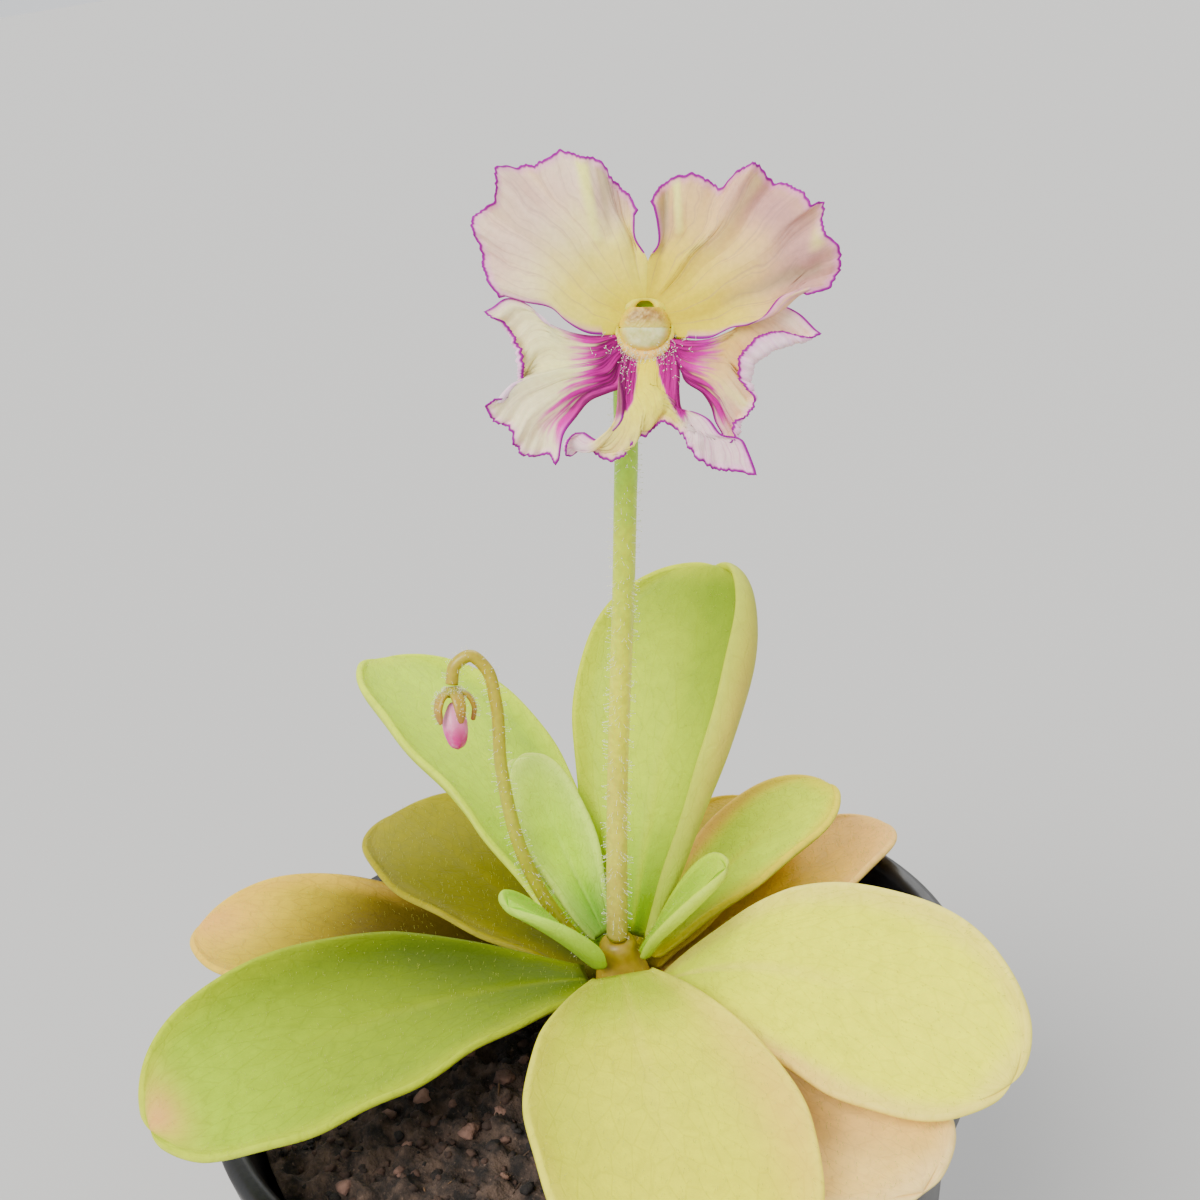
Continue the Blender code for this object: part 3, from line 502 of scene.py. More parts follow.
# Colours of each leaf: at its root, in its middle, at its tip, and of its margin. The darkest roots
# are partly the leaf's own olive and partly painted shade, where the leaves overlap round the crown.
LEAF_PAINT = {
    "leaf_left": ("66741A", "8C9A24", "A8BA34", "BCC45C"),
    "leaf_near": ("BCC850", "D8D878", "DEDA86", "E8E0A0"),
    "leaf_right": ("CCD468", "E8EA90", "F0F09C", "F2DCAE"),
    "leaf_old_right": ("B0946E", "ECD0AA", "FCD4A8", "FCDABA"),
    "leaf_old_left": ("40380C", "665C24", "D4C484", "DCC08C"),
    "leaf_olive": ("464C10", "706E22", "888440", "9C945C"),
    "leaf_back_left": ("88A420", "BCD044", "C8DC50", "D2DC6C"),
    "leaf_tall": ("8CA424", "BCCA40", "98A638", "C8CC64"),
    "leaf_back_right": ("94B02C", "C6D45C", "DCE660", "E0C488"),
    "leaf_back_low": ("646C20", "98943C", "BCA664", "C8B078"),
    "leaf_old_back_right": ("86703A", "CCB27C", "E6C298", "EAC8A0"),
    "leaf_old_back": ("50541A", "807C38", "A69852", "B2A468"),
    "leaf_inner_back": ("6C9A18", "D0E88C", "DCEEA4", "E0EEB0"),
    "leaf_inner_left": ("70900C", "98B818", "A4C624", "B0CC40"),
    "leaf_inner_right": ("74920E", "9EB42A", "B0C63A", "C0D052"),
}


# Darker green and pinkish patches of a leaf: how far along it and how far across it (-1 is its left
# margin) their middle is, their radius along and across, and their strength. The darker green patches
# are painted shade, where the crown, other leaves and rolled margins shade the blade; the pinkish
# patches are the leaf's own blush.
LEAF_PAINTED_SHADE = {
    "leaf_left": ((0.22, 0.5, 0.25, 0.9, 0.8), (0.5, 0.8, 0.3, 0.4, 0.6)),
    "leaf_near": ((0.1, 0.0, 0.12, 1.0, 0.4), (0.5, 0.8, 0.3, 0.35, 0.35)),
    "leaf_right": ((0.1, 0.6, 0.2, 0.6, 0.35),),
    "leaf_old_left": ((0.35, 0.2, 0.3, 1.2, 0.9),),
    "leaf_olive": ((0.25, 0.4, 0.3, 0.9, 0.6),),
    "leaf_old_right": ((0.3, 0.0, 0.3, 1.2, 0.5),),
    "leaf_tall": ((0.72, 0.25, 0.22, 0.3, 0.5), (0.93, 0.1, 0.1, 0.7, 0.4), (0.55, 0.5, 0.3, 0.1, 0.6)),
    "leaf_back_left": ((0.6, 0.7, 0.35, 0.3, 0.35),),
    "leaf_back_right": ((0.2, 0.3, 0.2, 0.8, 0.4),),
    "leaf_inner_back": ((0.1, 0.0, 0.2, 1.2, 0.4),),
}
LEAF_BLUSHES = {
    "leaf_left": ((0.98, 0.1, 0.05, 0.6, 0.7),),
    "leaf_near": ((0.6, -0.85, 0.35, 0.25, 0.35),),
    "leaf_tall": ((0.6, 0.8, 0.3, 0.12, 0.4),),
    "leaf_right": ((0.5, 0.95, 0.3, 0.12, 0.4),),
    "leaf_back_right": ((0.5, -0.95, 0.4, 0.2, 0.6),),
    "leaf_old_left": ((0.97, 0.0, 0.12, 0.9, 0.5),),
}


def patches(spots, along, across):
    """The sum of soft round patches, from 0 to 1."""
    total = np.zeros_like(along)
    for middle, side, length, width, strength in spots:
        total += strength * np.exp(-(((along - middle) / length) ** 2) - ((across - side) / width) ** 2)
    return np.clip(total, 0.0, 1.0)


def leaf_width(along, width, fullness):
    """Half width of a spoon-shaped blade at each share of its length."""

    def outline(share):
        return np.sqrt(1 - share) * (LEAF_ROOT_WIDTH + share**fullness)

    return 0.5 * width * outline(along) / outline(np.linspace(0.0, 1.0, 200)).max()


def margin_section(across, margins, hems):
    """Sideways and upward place of each point of a cross-section, for a half width of one."""
    sideways = np.zeros(len(across))
    upward = np.zeros(len(across))
    for sign, curl, hem in zip((-1.0, 1.0), margins, hems):
        fine = np.linspace(0.0, 1.0, 60)
        margin = np.clip((fine - hem) / (1 - hem), 0.0, 1.0)
        angle = math.radians(LEAF_CUP) * fine + math.radians(curl) * margin
        step = fine[1] - fine[0]
        out = np.concatenate([[0.0], np.cumsum(np.cos(angle[:-1]) * step)])
        rise = np.concatenate([[0.0], np.cumsum(np.sin(angle[:-1]) * step)])
        on_side = across * sign >= 0
        sideways[on_side] = sign * np.interp(np.abs(across[on_side]), fine, out)
        upward[on_side] = np.interp(np.abs(across[on_side]), fine, rise)
    return sideways, upward


def leaf_rib(leaf, along):
    """The midrib's points, its side direction and its top direction at each share of its length."""
    height, distance = leaf["root"]
    start, end = leaf["slopes"]
    length = leaf["size"][0]
    root_angle = math.radians(leaf["azimuth"])
    slope = np.radians(start + (end - start) * along)
    heading = root_angle + math.radians(leaf["turn"]) * along
    level = np.cos(slope)
    tangent = np.stack([level * np.cos(heading), level * np.sin(heading), np.sin(slope)], 1)
    foot = (CROWN_X + distance * math.cos(root_angle), CROWN_Y + distance * math.sin(root_angle), height)
    steps = (tangent[1:] + tangent[:-1]) * 0.5 * np.diff(along)[:, None] * length
    rib = np.concatenate([[foot], np.array(foot) + np.cumsum(steps, axis=0)])
    left = np.stack([-np.sin(heading), np.cos(heading), np.zeros(len(along))], 1)
    up = np.cross(tangent, left)
    roll = np.radians(leaf["roll"]) * np.minimum(1.0, along / 0.4)[:, None]
    side = left * np.cos(roll) + up * np.sin(roll)
    return rib, side, np.cross(tangent, side)


def leaf_relief(along, across, length, seed):
    """Small rise and fall of a blade: a groove on its midrib and slow waves, in millimetres."""
    phase = 1.7 * seed
    groove = -0.16 * np.exp(-((across / 0.07) ** 2)) * np.sqrt(np.clip(1 - along, 0, 1))
    slow = 0.11 * np.sin(0.32 * length * along + phase) * np.sin(2.6 * across + 0.7 * phase)
    edge = 0.20 * np.sin(0.55 * length * along + 2.1 * phase + across) * across**4
    fade = np.clip(along / 0.15, 0, 1) * np.clip((1 - along) / 0.06, 0, 1)
    return (groove + slow + edge) * fade


def fine_leaf(name, leaf, seed):
    share = np.linspace(0.0, 1.0, LEAF_ROWS)
    along = 1 - (1 - share * 0.9995) ** LEAF_TIP_CROWDING
    across = -np.cos(np.linspace(0.0, math.pi, LEAF_COLUMNS))
    across = 0.6 * across + 0.4 * np.linspace(-1.0, 1.0, LEAF_COLUMNS)
    length, width = leaf["size"]
    rib, side, top = leaf_rib(leaf, along)
    half = leaf_width(along, width, leaf["fullness"])
    sideways, upward = margin_section(across, leaf["margins"], leaf.get("hems", MARGIN_START))
    middle = rib[:, None] - side[:, None] * (half[:, None] * sideways)[..., None]
    middle = middle + top[:, None] * (half[:, None] * upward)[..., None]
    normals = -grid_normals(middle)
    normals[-1] = top[-1]
    middle = middle + normals * leaf_relief(along[:, None], across[None], length, seed)[..., None]
    rise = np.minimum(1.0, along / 0.25)
    centre = LEAF_ROOT_THICKNESS + (LEAF_THICKNESS - LEAF_ROOT_THICKNESS) * rise
    thickness = centre[:, None] + (LEAF_EDGE_THICKNESS - centre[:, None]) * across[None] ** 2
    from_edge = half[:, None] * (1 - np.abs(across[None])) + 0.02
    from_tip = (1 - along[:, None]) * length
    rounded = np.minimum(1.0, np.minimum(from_edge, from_tip) / (0.55 * thickness))
    thickness = thickness * np.sqrt(1 - (1 - rounded) ** 2)
    points, quads, row, column, is_upper = lens(middle, normals, thickness / 2, True)
    edge = np.minimum(from_edge, from_tip)
    values = {
        "along": along[row],
        "across": across[column],
        # painted shade: how strongly each point lies in a darker, shaded patch
        "shade": patches(LEAF_PAINTED_SHADE.get(name, ()), along[row], across[column]),
        "blush": patches(LEAF_BLUSHES.get(name, ()), along[row], across[column]),
        "edge": edge[row, column],
        "upper": is_upper,
    }
    blade = mesh_piece(name + "_blade", points, [quads], [leaf_finish(name)], values)
    keep(blade, "leaf_" + leaf["colour"], name)
    upper = quads[: (LEAF_ROWS - 1) * (LEAF_COLUMNS - 1)]
    add_leaf_glands(name, leaf, points, upper, normals.reshape(-1, 3), seed)


def add_leaf_glands(name, leaf, points, quads, normals, seed):
    """Short hairs with a sticky droplet on the leaf's upper face."""
    rng = np.random.default_rng(100 + seed)
    length, width = leaf["size"]
    count = int(GLANDS_PER_AREA * length * width * 0.62)
    full = np.zeros((points.shape[0], 3))
    full[: len(normals)] = normals
    place, normal, _ = on_surface(points, quads, full, count, rng)
    lean = rng.normal(0.0, 0.18, (count, 3))
    sizes = np.stack([np.full(count, 0.30), np.full(count, 0.30), rng.uniform(0.28, 0.48, count)], 1)
    spread = scattered(gland_template(), place, normal + lean, rng.uniform(0, 2 * math.pi, count), sizes)
    hairs = mesh_piece(name + "_glands", spread[0], [spread[1]], [FINISH["gland"]])
    keep(hairs, "leaf_" + leaf["colour"])


GLANDS_PER_AREA = 1.15
FINISH = {}


def leaf_finish(name):
    root, middle, tip, margin = (colour(code, LEAF_VIVID) for code in LEAF_PAINT[name])
    paint = Paint(name)
    along = paint.value("along")
    across = paint.value("across")
    edge = paint.value("edge")
    upper = paint.value("upper")
    place = paint.place()
    cloud = paint.noise(place, 90.0, 3.0)
    fine = paint.noise(place, 620.0, 3.0, 0.6)
    drift = paint.math("MULTIPLY_ADD", paint.math("SUBTRACT", cloud, 0.5), 0.16, along)
    base = paint.mix(paint.ramp(drift, 0.02, 0.42), root, middle)
    base = paint.mix(paint.ramp(drift, 0.5, 1.0), base, tip)
    lighter = paint.ramp(paint.math("MULTIPLY_ADD", cloud, -1.3, edge), -0.2, 2.6, 1.0, 0.0)
    base = paint.mix(paint.math("MULTIPLY", lighter, 0.5), base, margin)
    rim = paint.ramp(edge, 0.0, 0.4, 0.25, 0.0)
    base = paint.mix(rim, base, tuple(min(1.0, 1.12 * c) for c in margin))
    rib = paint.ramp(paint.math("ABSOLUTE", across), 0.0, 0.13, 0.32, 0.0)
    rib = paint.math("MULTIPLY", rib, paint.ramp(along, 0.1, 0.85, 1.0, 0.0))
    base = paint.mix(rib, base, margin)
    veins = leaf_veins(paint, along, across)
    base = paint.mix(paint.math("MULTIPLY", veins, 0.16), base, tuple(0.55 * c for c in middle))
    mottle = paint.ramp(fine, 0.35, 0.7, 0.93, 1.04)
    base = paint.mix(1.0, base, paint.combine(mottle, mottle, mottle), "MULTIPLY")
    # Painted shade: in the shaded patches the blade darkens towards its root colour.
    base = paint.mix(paint.value("shade"), base, tuple(0.55 * c for c in root))
    base = paint.mix(paint.value("blush"), base, colour("E2A888"))
    below = paint.mix(0.25, base, colour("C9C98E"))
    base = paint.mix(upper, below, base)
    paint.base(base)
    dots = paint.cells(place, 2400.0)
    height = paint.math("MULTIPLY_ADD", paint.ramp(dots, 0.0, 0.5, 1.0, 0.0), 0.6, fine)
    height = paint.math("MULTIPLY_ADD", veins, -0.5, height)
    paint.bump(height, 0.35, 0.12)
    paint.roughness(paint.ramp(fine, 0.3, 0.75, 0.42, 0.6))
    paint.set(specular=0.1, coat=0.03, coat_rough=0.3, under=0.2, under_scale=0.0022)
    paint.under_radius((0.8, 1.0, 0.25))
    return paint.made


def leaf_veins(paint, along, across):
    """Thin lines that leave the midrib and bend towards the tip."""
    bent = paint.math("MULTIPLY_ADD", paint.math("ABSOLUTE", across), -0.22, along)
    stretched = paint.combine(paint.math("MULTIPLY", bent, 2.2), paint.math("MULTIPLY", across, 1.1), 0.0)
    web = paint.cells(stretched, 7.0, "DISTANCE_TO_EDGE")
    return paint.ramp(web, 0.0, 0.07, 1.0, 0.0)


def gland_finish():
    paint = Paint("gland")
    shade = paint.noise(paint.place(), 300.0)
    paint.base(paint.mix(shade, colour("D2D888"), colour("E8E8B0")))
    paint.set(rough=0.12, coat=0.3, coat_rough=0.1, transmission=0.35, ior=1.35)
    return paint.made


# The open flower

# Petal outlines in the flower's own plane, in millimetres from the throat's middle: u to the right
# and v up as the flower is seen from in front. A rim point's third number is how far the petal's
# margin folds back over its face there.
PETALS = {
    "upper_left": dict(
        left=((-2.3, -0.7), (-4.5, -0.6), (-6.1, 0.2), (-7.2, 1.1), (-9.5, 1.6), (-11.0, 2.0)),
        rim=(
            (-11.0, 2.0, 0.0), (-11.8, 3.2, 0.0), (-12.3, 4.4, 0.1), (-12.5, 5.9, 0.2), (-13.1, 7.4, 0.1),
            (-12.8, 8.3, 0.0), (-11.6, 9.0, 0.2), (-11.1, 10.3, 0.3), (-11.1, 11.6, 0.1), (-9.4, 11.8, 0.0),
            (-7.9, 12.0, 0.0), (-6.4, 12.8, 0.0), (-5.1, 12.6, 0.0), (-3.4, 12.1, 0.0), (-2.3, 10.7, 0.0),
            (-1.2, 9.7, 0.0), (-0.5, 8.5, 0.0),
        ),
        right=((0.1, 1.9), (0.2, 3.6), (0.2, 5.0), (-0.5, 6.7), (-0.5, 8.5)),
        rise=0.6, bow=0.5, ruffle=(5.0, 0.45, 0.6), pleats=(3.0, 0.35, 0.2), base=(-0.9, 1.4),
    ),
    "upper_right": dict(
        left=((0.1, 1.9), (0.1, 3.6), (0.2, 5.0), (0.7, 6.0), (0.6, 7.9), (0.3, 9.1)),
        rim=(
            (0.3, 9.1, 0.0), (1.0, 10.2, 0.0), (2.7, 11.1, 0.2), (4.1, 11.0, 0.0), (5.6, 10.2, 0.0),
            (6.6, 11.2, 0.2), (8.0, 11.9, 0.0), (9.3, 10.7, 0.2), (10.6, 10.4, 0.0), (11.6, 9.8, 0.0),
            (12.4, 8.9, 0.1), (13.0, 9.1, 0.0), (13.3, 7.1, 0.0), (14.4, 5.8, 0.0), (14.7, 4.8, 0.0),
            (14.4, 3.6, 0.0), (13.7, 2.7, 0.0), (12.0, 2.2, 0.2),
        ),
        right=((2.4, -0.9), (5.2, -1.0), (6.6, -0.4), (7.9, -0.2), (9.1, 0.3), (10.5, 1.7), (12.0, 2.2)),
        rise=0.9, bow=0.5, ruffle=(5.0, 0.45, 2.4), pleats=(3.0, 0.3, 1.9), base=(0.9, 1.4),
    ),
    "lower_left": dict(
        left=((-2.3, -0.7), (-4.5, -0.8), (-6.4, -0.5), (-8.1, 0.2), (-9.4, 1.3), (-11.1, 1.7), (-12.2, 1.0)),
        rim=(
            (-12.2, 1.0, 0.3), (-10.9, 0.2, 0.6), (-10.0, -1.3, 0.7), (-9.6, -2.7, 0.8), (-9.8, -4.2, 0.7),
            (-10.8, -5.4, 0.5), (-11.8, -5.7, 0.3), (-12.1, -6.4, 0.1), (-11.6, -7.2, 0.0),
            (-10.5, -7.7, 0.2), (-10.0, -9.0, 0.1), (-9.4, -9.9, 0.0), (-8.4, -10.0, 0.0),
            (-7.4, -9.9, 0.1), (-6.8, -10.6, 0.0),
        ),
        right=(
            (-1.4, -2.0), (-1.7, -3.5), (-1.9, -4.8), (-2.8, -5.2), (-4.3, -5.9), (-5.4, -7.2),
            (-6.3, -8.4), (-6.8, -10.6),
        ),
        rise=0.3, bow=0.4, ruffle=(4.0, 0.35, 1.0), pleats=(2.0, 0.25, 0.4), base=(-1.2, -1.0),
    ),
    "lower_right": dict(
        left=((2.6, -2.0), (2.8, -3.1), (3.0, -4.2), (4.5, -5.5), (5.1, -6.5), (5.5, -7.8), (6.0, -8.7)),
        rim=(
            (6.0, -8.7, 0.1), (7.2, -8.7, 0.9), (7.3, -7.8, 1.0), (7.6, -6.9, 0.5), (8.3, -6.2, 0.3),
            (8.5, -5.5, 0.6), (8.1, -4.0, 1.2), (8.5, -2.7, 1.5), (9.6, -1.9, 1.7), (11.1, -1.4, 1.6),
            (12.6, -1.0, 0.6), (13.4, -0.6, 0.0),
        ),
        right=((2.5, -1.2), (5.3, -1.2), (7.9, -0.6), (9.6, 0.4), (10.8, 1.2), (11.8, 0.8), (13.4, -0.6)),
        rise=-0.1, bow=0.5, ruffle=(3.0, 0.25, 2.0), pleats=(1.5, 0.2, 1.2), base=(1.2, -1.0),
    ),
    "lower_middle": dict(
        left=(
            (-1.6, -1.6), (-1.9, -3.8), (-1.8, -5.6), (-2.0, -6.9), (-3.0, -8.0), (-4.0, -8.6),
            (-5.3, -8.0),
        ),
        rim=(
            (-5.3, -8.0, 0.2), (-6.1, -8.9, 0.7), (-5.9, -9.8, 0.4), (-4.3, -9.4, 0.0), (-3.3, -10.0, 0.0),
            (-2.6, -10.3, 0.0), (-1.5, -9.8, 0.0), (-0.6, -8.6, 0.1), (0.3, -8.2, 0.0), (1.3, -7.4, 0.3),
            (2.4, -7.8, 0.0), (3.7, -9.7, 0.0), (4.8, -10.6, 0.0), (7.0, -11.1, 0.0), (8.6, -11.3, 0.0),
        ),
        right=(
            (2.4, -1.6), (2.7, -3.7), (2.7, -5.2), (3.0, -6.5), (3.9, -6.7), (4.9, -7.2),
            (6.0, -8.5), (7.6, -9.0), (8.0, -9.8), (8.6, -11.3),
        ),
        rise=0.7, bow=0.7, ruffle=(3.0, 0.35, 0.5), pleats=(1.0, 0.0, 0.0), base=(0.3, -1.2),
    ),
}
# Creases of a petal: where each starts and ends in the flower's plane, its width and its height. The
# height also paints light on the petal: a highlight along the ridges and shade in the valleys.
CREASES = {
    "upper_left": (
        ((-4.9, 12.6), (-3.6, 6.5), 0.55, 0.5),
        ((-3.3, 11.4), (-2.7, 6.8), 0.6, -0.45),
        ((-11.4, 8.6), (-5.0, 3.4), 0.9, -0.2),
        ((-8.6, 11.4), (-4.6, 6.0), 0.8, 0.15),
    ),
    "upper_right": (
        ((2.2, 11.0), (2.5, 7.0), 0.4, 0.5),
        ((1.5, 9.6), (1.1, 5.6), 0.6, -0.45),
        ((13.6, 8.2), (12.2, 4.8), 0.7, 0.4),
        ((12.6, 4.4), (6.2, 1.8), 0.9, -0.35),
        ((8.2, 10.6), (4.8, 5.4), 0.7, 0.2),
    ),
    "lower_left": (
        ((-9.4, -3.4), (-4.6, -2.6), 0.6, 0.2),
        ((-9.4, -8.8), (-4.6, -5.0), 0.8, -0.2),
    ),
    "lower_right": (((7.6, -5.8), (4.4, -3.4), 0.6, 0.25),),
    "lower_middle": (((4.0, -8.6), (1.4, -5.6), 0.6, 0.3), ((-3.2, -9.4), (-1.0, -6.4), 0.6, 0.2)),
}

# Dusky pink patches of a petal: their middle in the flower's plane, their radius and strength.
BLUSHES = {
    "upper_left": (
        ((-1.8, 9.4), 2.2, 0.8),
        ((-11.4, 4.2), 2.6, 0.6),
        ((-9.4, 10.6), 2.4, 0.5),
        ((-6.5, 9.2), 1.6, 0.3),
    ),
    "upper_right": (
        ((12.2, 4.4), 3.4, 1.0),
        ((1.0, 7.6), 1.7, 0.9),
        ((7.2, 9.4), 2.6, 0.55),
        ((10.2, 8.6), 2.2, 0.55),
    ),
    "lower_left": (((-5.4, -1.9), 1.5, 0.35),),
    "lower_right": (((4.6, -2.3), 1.6, 0.8), ((6.4, -6.6), 1.6, 0.5)),
    "lower_middle": (((5.4, -8.6), 1.8, 0.5),),
}

TUBE_PATH = (
    (0.0, -0.1, -0.2),
    (0.0, -0.2, -2.5),
    (0.0, -0.9, -4.6),
    (0.0, -2.9, -6.2),
    (0.0, -5.2, -6.9),
    (0.0, -7.6, -7.0),
)
TUBE_RADII = (2.5, 2.3, 1.9, 1.15, 0.85, 0.6)


def flower_axes():
    """The flower's right, its up, and the way that it faces, in the part's frame."""
    azimuth = math.radians(FLOWER_AZIMUTH)
    elevation = math.radians(FLOWER_ELEVATION)
    lean = math.radians(FLOWER_LEAN)
    level = math.cos(elevation)
    out = np.array((level * math.cos(azimuth), level * math.sin(azimuth), math.sin(elevation)))
    across = np.cross((0.0, 0.0, 1.0), out)
    across /= np.linalg.norm(across)
    above = np.cross(out, across)
    right = across * math.cos(lean) + above * math.sin(lean)
    up = above * math.cos(lean) - across * math.sin(lean)
    return right, up, out


def turned_to_flower(vectors):
    """Directions given in the flower's own frame, in the part's frame."""
    right, up, out = flower_axes()
    vectors = np.asarray(vectors, float)
    return vectors[..., :1] * right + vectors[..., 1:2] * up + vectors[..., 2:3] * out


def from_flower(points):
    """Points given as (u, v, w) in the flower's own frame, in the part's frame."""
    return turned_to_flower(points) + np.array(FLOWER_CENTRE)


def roll_section(fold, steps):
    """Outward and forward place of each step of a margin that folds back by the given amount."""
    turn = math.pi * min(1.0, fold / 0.55)
    length = MARGIN_DEPTH + 1.25 * fold
    reach = np.linspace(0.0, length, steps * 8 + 1)
    angle = turn * np.clip(reach / (math.pi * ROLL_RADIUS), 0.0, 1.0) * 0.98
    step = reach[1] - reach[0]
    outward = np.concatenate([[0.0], np.cumsum(np.cos(angle[:-1]) * step)])
    forward = np.concatenate([[0.0], np.cumsum(np.sin(angle[:-1]) * step)])
    return outward[::8], forward[::8], outward.max()


def rim_directions(rim, centre):
    """Outward directions along a petal's rim, smoothed so that a wave doesn't cross itself."""
    along = np.gradient(rim, axis=0)
    outward = np.stack([along[:, 1], -along[:, 0]], 1)
    away = rim - centre
    away /= np.linalg.norm(away, axis=1)[:, None]
    outward *= np.sign((outward * away).sum(axis=1).mean())
    outward /= np.linalg.norm(outward, axis=1)[:, None] + 1e-9
    mixed = outward + 0.8 * away
    padded = np.concatenate([mixed[:1], mixed, mixed[-1:]])
    smooth = padded[:-2] + 2 * padded[1:-1] + padded[2:]
    return smooth / np.linalg.norm(smooth, axis=1)[:, None]


def fine_directions(petal, base_centre, columns):
    """The rim's outward directions, found on the CAD's coarser outline and then spread."""
    coarse = spline(petal["rim"], OUTLINE_COLUMNS + 1)[:, :2]
    directions = rim_directions(coarse, base_centre)
    at = np.linspace(0, 1, OUTLINE_COLUMNS + 1)
    where = np.linspace(0, 1, columns + 1)
    spread = np.stack([np.interp(where, at, directions[:, k]) for k in range(2)], 1)
    return spread / np.linalg.norm(spread, axis=1)[:, None]


def petal_surface(name, rows, columns, roll_steps, seed):
    """Middle points of a petal in the flower's frame, from the throat out to its rolled margin."""
    petal = PETALS[name]
    left = spline(petal["left"], rows + 1)
    right = spline(petal["right"], rows + 1)
    rim = spline(petal["rim"], columns + 1)
    base = np.linspace(left[0], right[0], columns + 1)
    share = np.linspace(0.0, 1.0, columns + 1)
    bulge = np.sin(math.pi * share)[:, None]
    base = base + bulge * (np.array(petal["base"]) - base.mean(axis=0))
    outward = fine_directions(petal, base.mean(axis=0), columns)
    sections = [roll_section(max(0.0, fold), roll_steps) for fold in rim[:, 2]]
    reach = np.array([section[2] for section in sections])
    edge = rim[:, :2] - outward * (reach - rim_teeth(share, seed))[:, None]
    a = share[None, :, None]
    b = np.linspace(0.0, 1.0, rows + 1)[:, None, None]
    left_edge = left + b[:, 0] * (edge[0] - left[-1])
    right_edge = right + b[:, 0] * (edge[-1] - right[-1])
    flat = (1 - a) * left_edge[:, None] + a * right_edge[:, None] + (1 - b) * base[None] + b * edge[None]
    flat -= (1 - a) * (1 - b) * base[0] + a * (1 - b) * base[-1] + (1 - a) * b * edge[0] + a * b * edge[-1]
    waves, height, phase = petal["ruffle"]
    folds, depth, start = petal["pleats"]
    b = b[..., 0]
    a = a[..., 0]
    relief = petal["rise"] * b + petal["bow"] * np.sin(math.pi * b)
    relief = relief + height * np.sin(2 * math.pi * waves * a + phase) * b**3
    fade = np.sin(math.pi * np.minimum(b, 0.7) / 1.4)
    relief = relief + depth * np.sin(2 * math.pi * folds * a + start) * fade
    relief = relief + petal_frill(a, b, seed) + petal_creases(name, flat)
    if name in ("upper_left", "upper_right"):
        joint, height = fused_seam(flat)
        relief = relief + joint * (height - relief)
        flat[..., 0] += joint * (SEAM_OVERLAP if name == "upper_left" else -SEAM_OVERLAP)
    grid = np.concatenate([flat, relief[..., None]], axis=2)
    strips = []
    for step in range(1, roll_steps + 1):
        out = np.array([section[0][step] for section in sections])
        forward = np.array([section[1][step] for section in sections])
        strip = np.concatenate([edge + outward * out[:, None], (relief[-1] + forward)[:, None]], axis=1)
        strips.append(strip)
    return np.concatenate([grid, np.array(strips)], axis=0)


def rim_teeth(share, seed):
    """How far each point of a rim stands out or in, as fine uneven teeth, in millimetres."""
    turns = 2 * math.pi * share
    teeth = 0.07 * np.sin(11.3 * turns + 1.9 * seed + 2.0 * np.sin(3.1 * turns + seed))
    teeth = teeth + 0.055 * np.sin(27.7 * turns + 0.7 * seed + 3.0 * np.sin(4.7 * turns))
    teeth = teeth + 0.05 * np.sin(49.1 * turns + 2.9 * seed + 4.0 * np.sin(6.3 * turns + 2 * seed))
    return teeth * np.sin(math.pi * share) ** 0.25 - 0.04


def fused_seam(flat):
    """Where the two upper petals have grown together, and how high their surface is there."""
    u = flat[..., 0]
    v = flat[..., 1]
    joint = step_between(np.abs(u - SEAM_U), 1.3, 0.15) * step_between(v, FUSED_HEIGHT + 1.5, FUSED_HEIGHT)
    share = np.clip((v - 1.9) / 6.9, 0.0, 1.0)
    height = 0.75 * share + 0.5 * np.sin(math.pi * share) + 0.12 * np.sin(math.pi * np.minimum(share, 0.7) / 1.4)
    return joint, height


def petal_creases(name, flat):
    """Rise and fall of a petal along its creases, in millimetres."""
    total = np.zeros(flat.shape[:2])
    for start, end, width, height in CREASES[name]:
        start = np.array(start)
        course = np.array(end) - start
        share = np.clip(((flat - start) @ course) / (course @ course), 0.0, 1.0)
        off = np.linalg.norm(flat - start - share[..., None] * course, axis=2)
        total += height * np.exp(-((off / width) ** 2)) * (1 - 0.5 * share)
    return total


def petal_blush(name, u, v):
    """How strongly each point of a petal is tinted a dusky pink."""
    total = np.zeros_like(u)
    for (patch_u, patch_v), radius, strength in BLUSHES[name]:
        total += strength * np.exp(-((u - patch_u) ** 2 + (v - patch_v) ** 2) / radius**2)
    return np.clip(total, 0.0, 1.0)


def petal_flap(name, u, v):
    """Where the middle lower petal turns its paler back to the front."""
    if name != "lower_middle":
        return np.zeros_like(u)
    right = step_between(u, 2.4, 3.4) * step_between(v, -5.8, -7.0)
    return 0.85 * np.maximum(right, step_between(u, -3.4, -4.6))


def petal_frill(a, b, seed):
    """Fine waves of the margin and shallow ridges over the veins, in millimetres."""
    margin = 0.16 * np.sin(2 * math.pi * 13 * a + seed) * np.sin(2 * math.pi * 4.3 * a + 2 * seed) * b**7
    ridges = 0.008 * np.sin(2 * math.pi * 17 * a + 1.3 * seed) * np.sin(math.pi * b)
    return margin + ridges


def distances(grid):
    """How far each point of a grid is from its first column, its last column and its last row."""
    steps = np.linalg.norm(np.diff(grid, axis=1), axis=2)
    first = np.concatenate([np.zeros((len(grid), 1)), np.cumsum(steps, axis=1)], axis=1)
    last = first[:, -1:] - first
    rise = np.linalg.norm(np.diff(grid, axis=0), axis=2)[::-1]
    far = np.concatenate([np.zeros((1, grid.shape[1])), np.cumsum(rise, axis=0)], axis=0)[::-1]
    return first, last, far


def step_between(value, low, high):
    """Goes smoothly from 0 to 1 while the value goes from low to high."""
    t = np.clip((value - low) / (high - low), 0.0, 1.0)
    return t * t * (3 - 2 * t)


